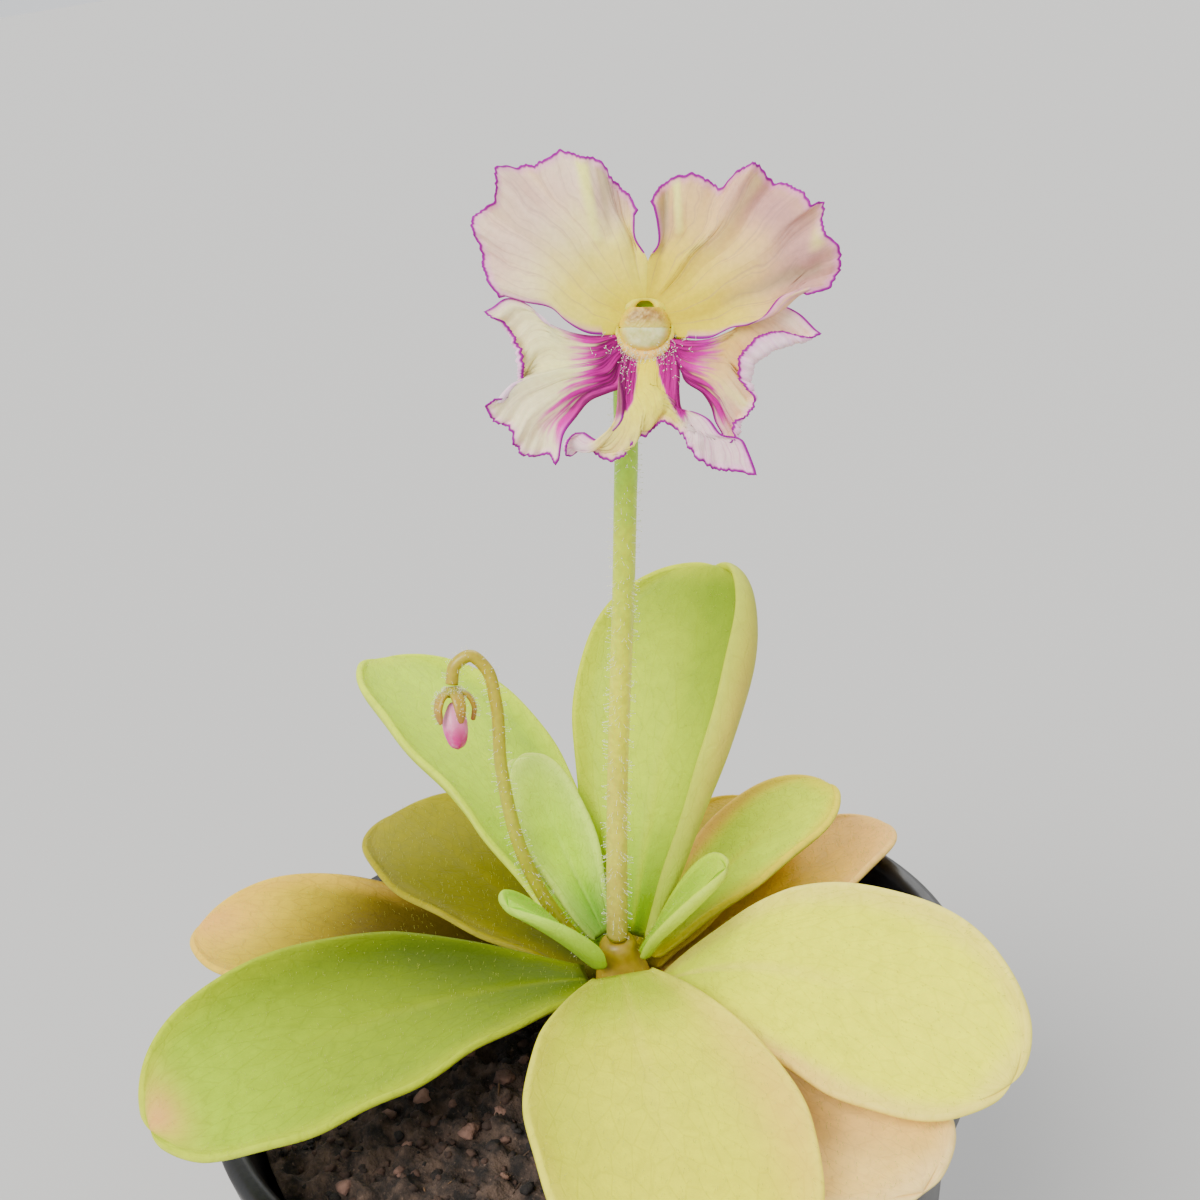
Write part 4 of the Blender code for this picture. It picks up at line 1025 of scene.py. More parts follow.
def petal_flush(name, u, v, first, last):
    """How strongly each point of a petal is flushed magenta."""
    if name == "lower_left":
        core = step_between(u, -6.6, -2.5)
        upper = step_between(first, 2.4, 0.1) * step_between(u, -8.6, -4.0)
        lower = step_between(last, 4.2, 0.4) * step_between(v, -10.2, -5.2)
        return np.maximum(np.maximum(core, upper), lower)
    if name == "lower_right":
        core = step_between(np.hypot(u, v), 7.2, 2.6)
        upper = step_between(last, 2.0, 0.1) * step_between(u, 11.4, 6.2)
        lower = step_between(first, 3.6, 0.4) * step_between(v, -9.4, -4.8)
        return np.maximum(np.maximum(core, upper), lower)
    if name == "lower_middle":
        left_line = np.interp(v, (-7.6, -6.6, -5.6, -4.0, -1.5), (-2.6, -1.4, -0.8, -0.55, -0.5))
        right_line = np.interp(v, (-7.2, -5.2, -3.8, -2.3, -1.5), (2.75, 1.65, 1.1, 0.8, 0.6))
        patch = np.maximum(step_between(left_line - u, -0.15, 0.25), step_between(u - right_line, -0.15, 0.25))
        return patch * step_between(v, -7.7, -6.0) * step_between(u, 3.5, 2.9)
    return np.zeros_like(u)


def painted_margin(name, grid, first, last, far):
    """Distance to the coloured margin, which the fused edges and the throat lack."""
    reach = np.hypot(grid[..., 0], grid[..., 1])
    fused = FAR_AWAY * step_between(grid[..., 1], FUSED_HEIGHT + 0.3, FUSED_HEIGHT)
    if name == "upper_left":
        last = last + fused
    if name == "upper_right":
        first = first + fused
    margin = np.minimum(np.minimum(first, last), far)
    return margin + FAR_AWAY * step_between(reach, 3.3, 2.6)


def fine_petal(name, seed):
    grid = petal_surface(name, PETAL_ROWS, PETAL_COLUMNS, PETAL_ROLL_STEPS, seed)
    rows, columns = grid.shape[:2]
    normals = grid_normals(grid)
    facing = np.sign(normals[: PETAL_ROWS // 2, :, 2].mean())
    normals = normals * facing
    first, last, far = distances(grid)
    margin = np.minimum(np.minimum(first, last), far)
    thickness = PETAL_THICKNESS * (0.45 + 0.55 * np.clip(margin / 2.5, 0, 1))
    thickness = thickness * np.sqrt(1 - (1 - np.clip(margin / 0.12, 0, 1)) ** 2)
    points, quads, row, column, is_upper = lens(grid, normals, thickness / 2, facing < 0)
    a = np.linspace(0, 1, columns)[None] + np.zeros((rows, 1))
    b = np.clip(np.arange(rows) / PETAL_ROWS, 0, 1.2)[:, None] + np.zeros((1, columns))
    u = grid[..., 0]
    v = grid[..., 1]
    flush = petal_flush(name, u, v, first, last)
    values = {
        "across": a[row, column],
        "along": b[row, column],
        "margin": painted_margin(name, grid, first, last, far)[row, column],
        "flush": flush[row, column],
        "blush": petal_blush(name, u, v)[row, column],
        # crease height, which also paints the creases' highlights and shade
        "fold": petal_creases(name, grid[..., :2])[row, column],
        "flap": petal_flap(name, u, v)[row, column],
        "reach": np.hypot(u, v)[row, column],
        "upper": is_upper,
    }
    made = mesh_piece("petal_" + name, from_flower(points), [quads], [petal_finish(name, seed)], values)
    keep(made, "petal", "corolla")
    if name in THROAT_HAIRS:
        hairy = step_between(flush, 0.5, 0.9) * step_between(np.hypot(u, v), 5.6, 2.6)
        hairy = hairy * (np.arange(rows) < PETAL_ROWS)[:, None]
        upper = quads[: (rows - 1) * (columns - 1)]
        full = np.zeros((len(points), 3))
        full[: rows * columns] = turned_to_flower(normals.reshape(-1, 3))
        weights = np.zeros(len(points))
        weights[: rows * columns] = hairy.ravel()
        count = THROAT_HAIRS[name]
        hairs = (name + "_hairs", from_flower(points), upper, full, count, (0.45, 0.85), "petal", 60 + seed)
        add_hairs(*hairs, weights)


FAR_AWAY = 5.0
FUSED_HEIGHT = 5.05
SEAM_U = 0.15
SEAM_OVERLAP = 0.12
THROAT_HAIRS = {"lower_left": 18, "lower_right": 24, "lower_middle": 90}

# Colours of each petal: of its middle, of its outer part, and of the glow near the throat, with
# how far the glow reaches, in millimetres.
PETAL_PAINT = {
    "upper_left": ("F8E8B4", "ECD6C4", "E0D220", 10.0),
    "upper_right": ("EAD496", "DEBEA4", "D8C820", 10.5),
    "lower_left": ("FFF0C0", "FFEACE", "FCEAA0", 3.8),
    "lower_right": ("F8CE98", "FADCD0", "F4D080", 3.8),
    "lower_middle": ("FFE898", "FFDCB0", "F8DC5C", 6.5),
}
MAGENTA = "A2007C"
DEEP_MAGENTA = "5E0046"
PALE_MAGENTA = "CC48AC"
EDGE_PURPLE = "7A0878"
EDGE_LILAC = "DC88CC"
DUSKY_PINK = "B8868E"
PETAL_BACK = "F8D8E0"


def petal_finish(name, seed):
    middle, outer, glow, glow_reach = PETAL_PAINT[name]
    paint = Paint("petal_" + name)
    across = paint.value("across")
    along = paint.value("along")
    margin = paint.value("margin")
    flush = paint.value("flush")
    blush = paint.value("blush")
    reach = paint.value("reach")
    upper = paint.value("upper")
    place = paint.place()
    cloud = paint.noise(place, 240.0, 3.0)
    grain = paint.noise(place, 2600.0, 2.0)
    far = paint.math("MULTIPLY_ADD", paint.math("SUBTRACT", cloud, 0.5), 5.0, reach)
    face = paint.mix(paint.ramp(far, 5.0, 12.5), colour(middle), colour(outer))
    face = paint.mix(paint.ramp(far, 2.0, glow_reach, 1.0, 0.0), face, colour(glow))
    tinted = paint.math("MULTIPLY_ADD", paint.math("SUBTRACT", cloud, 0.5), 0.6, blush)
    face = paint.mix(paint.ramp(tinted, 0.1, 1.0, 0.0, 0.7), face, colour(DUSKY_PINK, 1.1))
    veins = petal_veins(paint, across, along, seed)
    vein_strength = 0.36 if name.startswith("upper") else 0.2
    face = paint.mix(paint.math("MULTIPLY", veins, vein_strength), face, colour("A07C7C", 1.0))
    # Painted light on the creases: a pale cream highlight on the ridges and painted grey-brown shade in the valleys.
    fold = paint.value("fold")
    face = paint.mix(paint.ramp(fold, 0.05, 0.45, 0.0, 0.9), face, colour("FFF4B0"))
    face = paint.mix(paint.ramp(fold, -0.4, -0.05, 0.8, 0.0), face, colour("AC9C74", 1.0))
    flap = paint.mix(paint.math("MULTIPLY", veins, 0.6), colour(PETAL_BACK), colour("B878A8"))
    face = paint.mix(paint.value("flap"), face, flap)
    streaks = petal_streaks(paint, across, along, seed)
    strength = paint.math("MULTIPLY_ADD", paint.math("SUBTRACT", streaks, 0.5), 1.7, flush)
    strength = paint.ramp(strength, 0.05, 0.75)
    strength = paint.math("MULTIPLY", strength, paint.ramp(flush, 0.02, 0.2))
    deep = paint.mix(paint.ramp(streaks, 0.36, 0.62), colour(DEEP_MAGENTA), colour(MAGENTA))
    deep = paint.mix(paint.ramp(flush, 0.15, 0.95, 0.85, 0.0), deep, colour(PALE_MAGENTA))
    face = paint.mix(strength, face, deep)
    back = colour(outer) if name.startswith("upper") else colour(PETAL_BACK)
    if name == "lower_middle":
        pale = paint.math("MAXIMUM", paint.value("flap"), paint.ramp(reach, 9.0, 10.5))
        back = paint.mix(pale, colour(middle), back)
    back = paint.mix(paint.math("MULTIPLY", veins, 0.5), back, colour("BF7FB4"))
    back = paint.mix(paint.math("MULTIPLY", strength, 0.9), back, deep)
    whole = paint.mix(upper, back, face)
    halo = paint.math("MULTIPLY", paint.ramp(margin, 0.05, 0.9, 0.5, 0.0), paint.ramp(flush, 0.3, 0.9, 1.0, 0.1))
    whole = paint.mix(halo, whole, colour(EDGE_LILAC))
    line = paint.ramp(margin, 0.14, 0.34, 1.0, 0.0)
    edge = paint.mix(paint.ramp(flush, 0.3, 0.9), colour(EDGE_PURPLE), colour(DEEP_MAGENTA))
    whole = paint.mix(line, whole, edge)
    shade = paint.ramp(grain, 0.3, 0.75, 0.95, 1.05)
    whole = paint.mix(1.0, whole, paint.combine(shade, shade, shade), "MULTIPLY")
    paint.base(whole)
    height = paint.math("MULTIPLY_ADD", veins, -1.0, paint.math("MULTIPLY", grain, 0.5))
    paint.bump(height, 0.2, 0.04)
    paint.set(rough=0.6, specular=0.1, under=0.3, under_scale=0.0006)
    paint.under_radius((1.0, 0.75, 0.7))
    return paint.made


def petal_veins(paint, across, along, seed):
    """Veins that fan out of the throat and fork twice on their way to the margin."""
    bend = paint.noise(paint.combine(paint.math("MULTIPLY", across, 3.0), along, float(seed)), 3.0, 2.0)
    bent = paint.math("MULTIPLY_ADD", paint.math("SUBTRACT", bend, 0.5), 0.10, across)
    total = None
    for count, start, width, strength in ((7, 0.0, 0.055, 0.9), (14, 0.34, 0.075, 0.7), (28, 0.62, 0.10, 0.5)):
        cell = paint.math("FRACT", paint.math("MULTIPLY_ADD", bent, float(count), 0.37 * seed))
        off = paint.math("ABSOLUTE", paint.math("SUBTRACT", cell, 0.5))
        line = paint.ramp(off, 0.0, width, strength, 0.0)
        line = paint.math("MULTIPLY", line, paint.ramp(along, start - 0.1, start + 0.2))
        total = line if total is None else paint.math("MAXIMUM", total, line)
    return paint.math("MULTIPLY", total, paint.ramp(along, 0.85, 1.2, 1.0, 0.5))


def petal_streaks(paint, across, along, seed):
    """Fine streaks of colour that run from the throat outwards."""
    stretched = paint.combine(paint.math("MULTIPLY", across, 26.0), paint.math("MULTIPLY", along, 2.6), 3.1 * seed)
    return paint.noise(stretched, 1.0, 3.0, 0.55)


def throat():
    """The tube behind the petals, open at its mouth, with a swollen lip round it and a spur."""
    count = 60
    path = spline(TUBE_PATH, count)
    radii = along_radii(TUBE_RADII, count)
    sides = 56
    inner = [(2.04, -0.15), (2.0, -0.4), (1.6, -0.55), (1.0, -0.6), (0.02, -0.62)]
    points, quads, share, _ = tube(path, radii, sides)
    angles = 2 * math.pi * np.arange(72) / 72
    low = np.clip(-np.sin(angles), 0.0, 1.0) ** 1.5
    from_top = np.degrees(np.abs(np.angle(np.exp(1j * (angles - 0.5 * math.pi)))))
    shoulder = np.exp(-(((from_top - 36) / 15) ** 2))
    lip = LIP_RADIUS + LIP_SWELLING * low + 0.3 * shoulder
    rows = []
    for t in np.linspace(0.0, math.pi, 11):
        radius = 2.12 - 0.02 * low - 0.28 * shoulder + lip * math.cos(t) + 0.02 * np.sin(23 * angles)
        height = LIP_SINK + (0.7 + 0.5 * low) * lip * math.sin(t) + 0.03 * low * np.sin(19 * angles + 1)
        rows.append(np.stack([radius * np.cos(angles), radius * np.sin(angles) - 0.1, height], 1))
    for radius, w in inner:
        rows.append(np.stack([radius * np.cos(angles), radius * np.sin(angles) - 0.1, np.full(72, w)], 1))
    rows = np.array(rows)
    index = np.arange(rows.shape[0] * 72).reshape(rows.shape[0], 72) + len(points)
    nxt = np.roll(index, -1, axis=1)
    mouth = np.stack([index[:-1], nxt[:-1], nxt[1:], index[1:]], -1).reshape(-1, 4)
    bottom = rows.reshape(-1, 3)
    everything = np.concatenate([points, bottom])
    keep_outer = quads[0]
    spur_cap = quads[1][sides:]
    values = {
        "share": np.concatenate([share, np.zeros(len(bottom))]),
        "deep": np.concatenate([np.zeros(len(points)), np.clip(-bottom[:, 2] / 0.5, 0, 1)]),
        "high": np.concatenate([points[:, 1], bottom[:, 1]]),
        "side": np.abs(np.concatenate([points[:, 0], bottom[:, 0]])),
    }
    faces = [np.concatenate([keep_outer, mouth]), spur_cap]
    made = mesh_piece("throat", from_flower(everything), faces, [throat_finish()], values)
    keep(made, "petal", "corolla")
    outward = np.stack([np.cos(angles), np.sin(angles), np.full(72, 0.5)], 1)
    outward = np.concatenate([np.zeros((len(points), 3)), np.tile(outward, (len(rows), 1))])
    weights = np.concatenate([np.zeros(len(points)), np.tile(low, len(rows))])
    fringe = mouth[: 8 * 72]
    hairs = ("lip_fringe", from_flower(everything), fringe, turned_to_flower(outward), 150)
    add_hairs(*hairs, (0.16, 0.34), "petal", 71, weights)


LIP_RADIUS = 0.16
LIP_SWELLING = 0.38
LIP_SINK = 0.02


def throat_finish():
    paint = Paint("throat")
    share = paint.value("share")
    deep = paint.value("deep")
    high = paint.value("high")
    place = paint.place()
    grain = paint.noise(place, 1800.0, 3.0)
    cloud = paint.noise(place, 500.0, 3.0)
    ring = paint.mix(paint.ramp(high, -1.9, -0.2), colour("F0C68C"), colour("E0D020"))
    outside = paint.mix(paint.ramp(share, 0.03, 0.4), colour("EFDDC4"), colour("D8C98C"))
    outside = paint.mix(paint.ramp(share, 0.55, 1.0), outside, colour("A9B85A"))
    outside = paint.mix(paint.ramp(cloud, 0.4, 0.7, 0.0, 0.4), outside, colour("D9A3B8"))
    skin = paint.mix(paint.ramp(share, 0.0, 0.04), ring, outside)
    notch = paint.math("MULTIPLY", paint.ramp(high, 0.8, 1.2), paint.ramp(paint.value("side"), 0.5, 0.9, 1.0, 0.0))
    skin = paint.mix(deep, skin, paint.mix(notch, colour("E0CC40"), colour("9CB430")))
    tint = paint.ramp(grain, 0.3, 0.7, 0.9, 1.06)
    paint.base(paint.mix(1.0, skin, paint.combine(tint, tint, tint), "MULTIPLY"))
    paint.bump(grain, 0.35, 0.08)
    paint.set(rough=0.5, under=0.3, under_scale=0.001)
    return paint.made


def throat_body(name, centre, ceiling, floor, finish, slot, node, grains):
    """One part of the ball that fills the throat, between a ceiling and a floor, in its frame."""
    steps = 34
    sides = 96
    theta = 2 * math.pi * np.arange(sides) / sides
    outline = body_outline(centre, ceiling, floor, theta)
    share = np.sin(np.linspace(math.pi / 2, 0.0, steps))[:, None]
    u = centre[0] + share * outline * np.cos(theta)
    v = centre[1] + share * outline * np.sin(theta)
    off = np.clip(np.hypot(u, v - BALL_V) / BALL_RADIUS, 0.0, 1.0)
    w = BALL_HEIGHT * np.sqrt((1 - 0.7 * off**2) * (1 - off**8)) - BALL_SINK * off**8
    rough = np.sin(9 * u + 3) * np.sin(11 * v) + 0.7 * np.sin(23 * u) * np.sin(19 * v + 1)
    w = w + grains * rough * (1 - off**4) - MEETING_DIP * share**24 * (1 - off**8)
    top = np.stack([u, v, w], -1)
    skirt = top[:1].copy()
    skirt[..., 2] = BODY_FOOT
    pts = np.concatenate([skirt, top])
    index = np.arange(len(pts) * sides).reshape(-1, sides)
    nxt = np.roll(index, -1, axis=1)
    quads = np.stack([index[:-1], nxt[:-1], nxt[1:], index[1:]], -1).reshape(-1, 4)
    rim = np.concatenate([off[:1], off])
    values = {"high": pts[..., 1].ravel(), "rim": rim.ravel()}
    made = mesh_piece(name, from_flower(pts.reshape(-1, 3)), [quads], [finish], values)
    keep(made, slot, node)


def body_outline(centre, ceiling, floor, theta):
    """Distance from a body's centre to its outline, which the ball, a ceiling and a floor bound."""
    across = np.cos(theta)
    up = np.sin(theta)
    height = centre[1] - BALL_V
    along = centre[0] * across + height * up
    ball = np.sqrt(along**2 + BALL_RADIUS**2 - centre[0] ** 2 - height**2) - along
    above = (ceiling - centre[1]) / np.maximum(up, 1e-3)
    below = (centre[1] - floor) / np.maximum(-up, 1e-3)
    return (ball**-24.0 + above**-24.0 + below**-24.0) ** (-1 / 24.0)


BALL_V = -0.1
BALL_RADIUS = 2.0
BALL_HEIGHT = 1.15
BALL_SINK = 0.25
BODY_FOOT = -0.5
MEETING_DIP = 0.02


def stigma_finish():
    paint = Paint("stigma")
    shade = paint.noise(paint.place(), 1500.0, 3.0)
    body = paint.mix(paint.ramp(shade, 0.3, 0.7), colour("C8C47C", 1.2), colour("ECE6B0", 1.2))
    body = paint.mix(paint.ramp(paint.value("rim"), 0.62, 1.0, 0.0, 0.8), body, colour("E2CC6C"))
    paint.base(paint.mix(paint.ramp(paint.value("high"), -2.0, -1.3), colour("E4BC78"), body))
    paint.bump(shade, 0.5, 0.04)
    paint.set(rough=0.35, coat=0.15, coat_rough=0.2, under=0.3, under_scale=0.001)
    return paint.made


def anther_finish():
    paint = Paint("anthers")
    shade = paint.noise(paint.place(), 2200.0, 3.0)
    spots = paint.cells(paint.place(), 5200.0)
    body = paint.mix(paint.ramp(shade, 0.35, 0.65), colour("98743C", 1.2), colour("C8A86C", 1.2))
    # Paler at the bottom, darker brown towards the top: partly the anthers' own colour, partly painted shade under the
    # upper petals.
    body = paint.mix(paint.ramp(paint.value("high"), -0.1, 0.7), colour("D2C284"), body)
    paint.base(paint.mix(paint.ramp(paint.value("rim"), 0.62, 1.0, 0.0, 0.85), body, colour("E2CC54")))
    paint.bump(spots, 0.6, 0.06)
    paint.set(rough=0.45, under=0.2, under_scale=0.0008)
    return paint.made


# Calyx, stalks and bud
HUB_V = 0.6
SEPAL_WIDTH = 1.7
SEPAL_COURSE = ((0.3, -7.6), (0.8, -6.7), (1.0, -4.9), (1.05, -3.3))
SEPAL_SPREAD = ((0.0, 3.0), (-2.5, 2.0), (2.5, 2.0), (-2.9, -1.1), (2.9, -1.1))
SCAPE_FOOT = (
    (4.1, -1.4, 77.6),
    (6.4, -3.7, 95.0),
    (8.1, -6.4, 107.0),
    (9.7, -9.0, 118.0),
    (11.0, -11.0, 127.5),
)
SCAPE_TOP = ((-1.5, -9.4, -10.6), (-1.6, -5.0, -10.4), (-1.1, -1.6, -10.8), (-0.2, 0.2, -9.7))
SCAPE_RADII = (1.1, 1.05, 1.0, 1.0, 1.0, 1.0, 0.95)
BUD_STALK = (
    (0.7, 0.2, 75.2), (-1.5, 0.9, 79.5), (-3.8, 2.0, 87.0), (-4.3, 4.6, 96.0), (-3.6, 6.6, 102.8),
    (-3.9, 7.6, 105.8), (-5.3, 8.0, 107.4), (-6.9, 7.8, 106.8), (-7.6, 7.4, 105.0),
)
BUD_STALK_RADII = (0.75, 0.7, 0.65, 0.65)
BUD_AXIS = (-0.1, -0.35, -1.0)
BUD_SEPAL = ((0.5, 0.4), (1.5, 0.9), (2.05, 2.2), (1.75, 3.6))
BUD_PROFILE = ((0.0, 1.5), (0.35, 1.6), (0.9, 2.5), (1.25, 3.7), (1.1, 5.0), (0.6, 6.1), (0.0, 6.4))
CROWN_PROFILE = (
    (0.0, 55.0),
    (1.6, 56.0),
    (2.6, 61.0),
    (3.2, 66.0),
    (3.4, 68.8),
    (3.1, 71.0),
    (2.7, 73.2),
    (2.1, 75.0),
    (1.8, 76.6),
    (1.4, 77.0),
    (0.0, 77.0),
)


def stalk(name, path, radii, finish, slot, node, hair_count, seed):
    """A round hairy stalk."""
    count = 150
    sides = 28
    course = spline(path, count)
    width = along_radii(radii, count)
    points, faces, share, outward = tube(course, width, sides)
    values = {"share": share}
    made = mesh_piece(name + "_stem", points, faces, [finish], values)
    keep(made, slot, node)
    add_hairs(name + "_hairs", points, faces[0], outward, hair_count, (0.35, 0.7), slot, seed)


def add_hairs(name, points, quads, outward, count, lengths, slot, seed, weights=None):
    """Glandular hairs that stand out of a surface."""
    rng = np.random.default_rng(seed)
    place, normal, _ = on_surface(points, quads, outward, count, rng, weights)
    lean = rng.normal(0.0, 0.25, (count, 3))
    tall = rng.uniform(*lengths, count)
    sizes = np.stack([np.full(count, 0.38), np.full(count, 0.38), tall], 1)
    spread = scattered(gland_template(), place, normal + lean, rng.uniform(0, 2 * math.pi, count), sizes)
    made = mesh_piece(name, spread[0], [spread[1]], [FINISH["hair"]])
    keep(made, slot)
    return made


def hair_finish():
    paint = Paint("hair")
    shade = paint.noise(paint.place(), 400.0)
    paint.base(paint.mix(shade, colour("E9EBCB"), colour("FBFBF0")))
    paint.set(rough=0.2, coat=0.3, coat_rough=0.1)
    return paint.made


def stem_finish(name, colours):
    """A stalk whose colour changes from its foot to its top."""
    paint = Paint(name)
    share = paint.value("share")
    place = paint.place()
    cloud = paint.noise(place, 260.0, 3.0)
    fibre = paint.noise(place, 1400.0, 3.0)
    drift = paint.math("MULTIPLY_ADD", paint.math("SUBTRACT", cloud, 0.5), 0.18, share)
    skin = colour(colours[0][1])
    for (low, _), (high, code) in zip(colours, colours[1:]):
        skin = paint.mix(paint.ramp(drift, low, high), skin, colour(code))
    tint = paint.ramp(fibre, 0.3, 0.7, 0.88, 1.06)
    paint.base(paint.mix(1.0, skin, paint.combine(tint, tint, tint), "MULTIPLY"))
    paint.bump(fibre, 0.3, 0.08)
    paint.set(rough=0.42, coat=0.15, coat_rough=0.25, under=0.2, under_scale=0.0012)
    return paint.made


def sepal_points(path, width, outward, rows=40, columns=18, thickness=0.5):
    """A small pointed blade along a path, curved round the axis that it faces away from."""
    path = spline(path, rows)
    tangent = np.gradient(path, axis=0)
    tangent /= np.linalg.norm(tangent, axis=1)[:, None]
    side = np.cross(tangent, outward)
    side /= np.linalg.norm(side, axis=1)[:, None]
    out = np.cross(side, tangent)
    along = np.linspace(0.0, 0.999, rows)
    half = 0.5 * width * np.sqrt(1 - along) * (0.75 + 0.55 * along)
    across = np.linspace(-1.0, 1.0, columns)
    middle = path[:, None] + side[:, None] * (half[:, None] * across)[..., None]
    middle = middle - out[:, None] * (0.3 * half[:, None] * across**2)[..., None]
    normals = grid_normals(middle)
    sign = np.sign((normals * out[:, None]).sum())
    edge = half[:, None] * (1 - np.abs(across[None])) + 0.01
    depth = thickness * np.sqrt(1 - (1 - np.clip(edge / 0.3, 0, 1)) ** 2)
    points, quads, row, column, is_upper = lens(middle, normals * sign, depth / 2, sign < 0)
    return points, quads, along[row], normals.reshape(-1, 3) * sign


def fine_calyx(name, place, turn, hub, hub_radii, sepals, finish, slot, node, seed):
    """A small hub with five sepals, in the frame that place maps from."""
    points, faces, share, outward = tube(spline(hub, 24), along_radii(hub_radii, 24), 36)
    all_points = [place(points)]
    quads = [faces[0]]
    caps = faces[1]
    shares = [0.0 * share]
    hairs = [turn(outward)]
    shift = len(points)
    for path, away in sepals:
        blade, blade_quads, along, normals = sepal_points(path, SEPAL_WIDTH, np.array(away))
        full = np.zeros_like(blade)
        full[: len(normals)] = normals
        full[len(normals) :] = (0.0, 0.0, 1.0)
        all_points.append(place(blade))
        quads.append(blade_quads + shift)
        shares.append(along)
        hairs.append(turn(full))
        shift += len(blade)
    everything = np.concatenate(all_points)
    values = {"share": np.concatenate(shares)}
    made = mesh_piece(name + "_sepals", everything, [np.concatenate(quads), caps], [finish], values)
    keep(made, slot, node)
    upper = [quads[0]]
    for group in quads[1:]:
        upper.append(group[: len(group) // 2])
    add_hairs(name + "_hairs", everything, np.concatenate(upper), np.concatenate(hairs), 260, (0.25, 0.45), slot, seed)


def flower_calyx():
    sepals = []
    for u, v in SEPAL_SPREAD:
        path = [(u * share, HUB_V + (v - HUB_V) * share, w) for share, w in SEPAL_COURSE]
        sepals.append((path, (u, v - HUB_V, 0.4)))
    hub = ((0.0, HUB_V + 0.1, -8.5), (0.0, HUB_V, -7.9), (0.0, HUB_V, -7.0))
    finish = stem_finish("calyx", ((0.0, "8FB03A"), (0.5, "9DB84A"), (1.0, "B59A5A")))
    fine_calyx(
        "calyx", from_flower, turned_to_flower, hub, (1.0, 1.15, 0.5), sepals, finish,
        "calyx_green", "calyx", 31,
    )


def scape():
    top = from_flower(np.array(SCAPE_TOP))
    path = np.concatenate([np.array(SCAPE_FOOT), top])
    finish = stem_finish(
        "scape",
        ((0.0, "B8A876"), (0.2, "D0CA84"), (0.45, "DEE088"), (0.68, "CCD86C"), (0.86, "A4C844"), (1.0, "88B424")),
    )
    stalk("scape", path, SCAPE_RADII, finish, "scape", "scape", 900, 41)


def bud():
    finish = stem_finish("bud_stalk", ((0.0, "8E8A3C"), (0.5, "A9A84E"), (0.9, "A79A52")))
    stalk("bud_scape", BUD_STALK, BUD_STALK_RADII, finish, "bud_stalk", "bud_scape", 420, 43)
    axis = np.array(BUD_AXIS) / np.linalg.norm(BUD_AXIS)
    side = np.cross(axis, (0.0, 1.0, 0.0))
    side /= np.linalg.norm(side)
    other = np.cross(axis, side)
    start = spline(BUD_STALK, 150)[-1] + axis * CLEARANCE

    def turn(vectors):
        vectors = np.asarray(vectors, float)
        return vectors[..., :1] * side + vectors[..., 1:2] * other + vectors[..., 2:3] * axis

    def place(points):
        return start + turn(points)

    sepals = []
    for k in range(5):
        angle = 2 * math.pi * k / 5
        path = [(r * math.cos(angle), r * math.sin(angle), w) for r, w in BUD_SEPAL]
        sepals.append((path, (math.cos(angle), math.sin(angle), 0.0)))
    hub = ((0.0, 0.0, 0.0), (0.0, 0.0, 0.5), (0.0, 0.0, 1.0))
    brown = stem_finish("bud_calyx", ((0.0, "9A9450"), (0.5, "A58F55"), (1.0, "9C7A58")))
    fine_calyx("bud_calyx", place, turn, hub, (0.7, 1.1, 0.9), sepals, brown, "bud_calyx", "bud_calyx", 47)
    rings = spline(np.array(BUD_PROFILE), 40)
    points, quads = turned(np.clip(rings, 0.005, None), 40)
    angle = np.arctan2(points[:, 1], points[:, 0])
    swirl = 1 + 0.06 * np.sin(5 * angle + 1.2 * points[:, 2])
    points[:, :2] *= swirl[:, None]
    made = mesh_piece("bud_tip", place(points), [quads], [bud_petal_finish()], {"share": points[:, 2] / 6.4})
    keep(made, "bud_petals", "bud_petals")


def bud_petal_finish():
    paint = Paint("bud_petals")
    share = paint.value("share")
    shade = paint.noise(paint.place(), 900.0, 3.0)
    skin = paint.mix(paint.ramp(share, 0.3, 0.9), colour("DDA0B8"), colour("B23C7C"))
    paint.base(paint.mix(paint.ramp(shade, 0.4, 0.7, 0.0, 0.4), skin, colour("E9C3D0")))
    paint.bump(shade, 0.3, 0.08)
    paint.set(rough=0.45, under=0.3, under_scale=0.001)
    return paint.made


def crown():
    rings = spline(np.array(CROWN_PROFILE), 70)
    points, quads = turned(np.clip(rings, 0.005, None), 60, (CROWN_X, CROWN_Y))
    # Dark browns, darkest towards the peat: partly the crown's own colour, partly painted shade where the leaf bases
    # cover it.
    finish = stem_finish("crown", ((0.0, "4E4628"), (0.5, "7A6A40"), (0.8, "A08C58")))
    share = np.clip((points[:, 2] - 60) / 17, 0, 1)
    made = mesh_piece("crown_stem", points, [quads], [finish], {"share": share})
    keep(made, "crown_green", "crown")


# Pot and peat


def pot_radius(height):
    """Outer radius of the pot's wall below its rim band."""
    top = POT_RIM_RADIUS - RIM_BAND_STEP
    return POT_BASE_RADIUS + (top - POT_BASE_RADIUS) * height / POT_HEIGHT


def rounded(profile, radius, steps=5):
    """The profile with each inner corner cut to a small round one."""
    profile = np.array(profile, float)
    made = [profile[0]]
    for before, corner, after in zip(profile, profile[1:], profile[2:]):
        back = before - corner
        ahead = after - corner
        cut = min(radius, 0.45 * np.linalg.norm(back), 0.45 * np.linalg.norm(ahead))
        start = corner + back / np.linalg.norm(back) * cut
        end = corner + ahead / np.linalg.norm(ahead) * cut
        for t in np.linspace(0, 1, steps):
            made.append((1 - t) ** 2 * start + 2 * t * (1 - t) * corner + t**2 * end)
    made.append(profile[-1])
    return np.array(made)


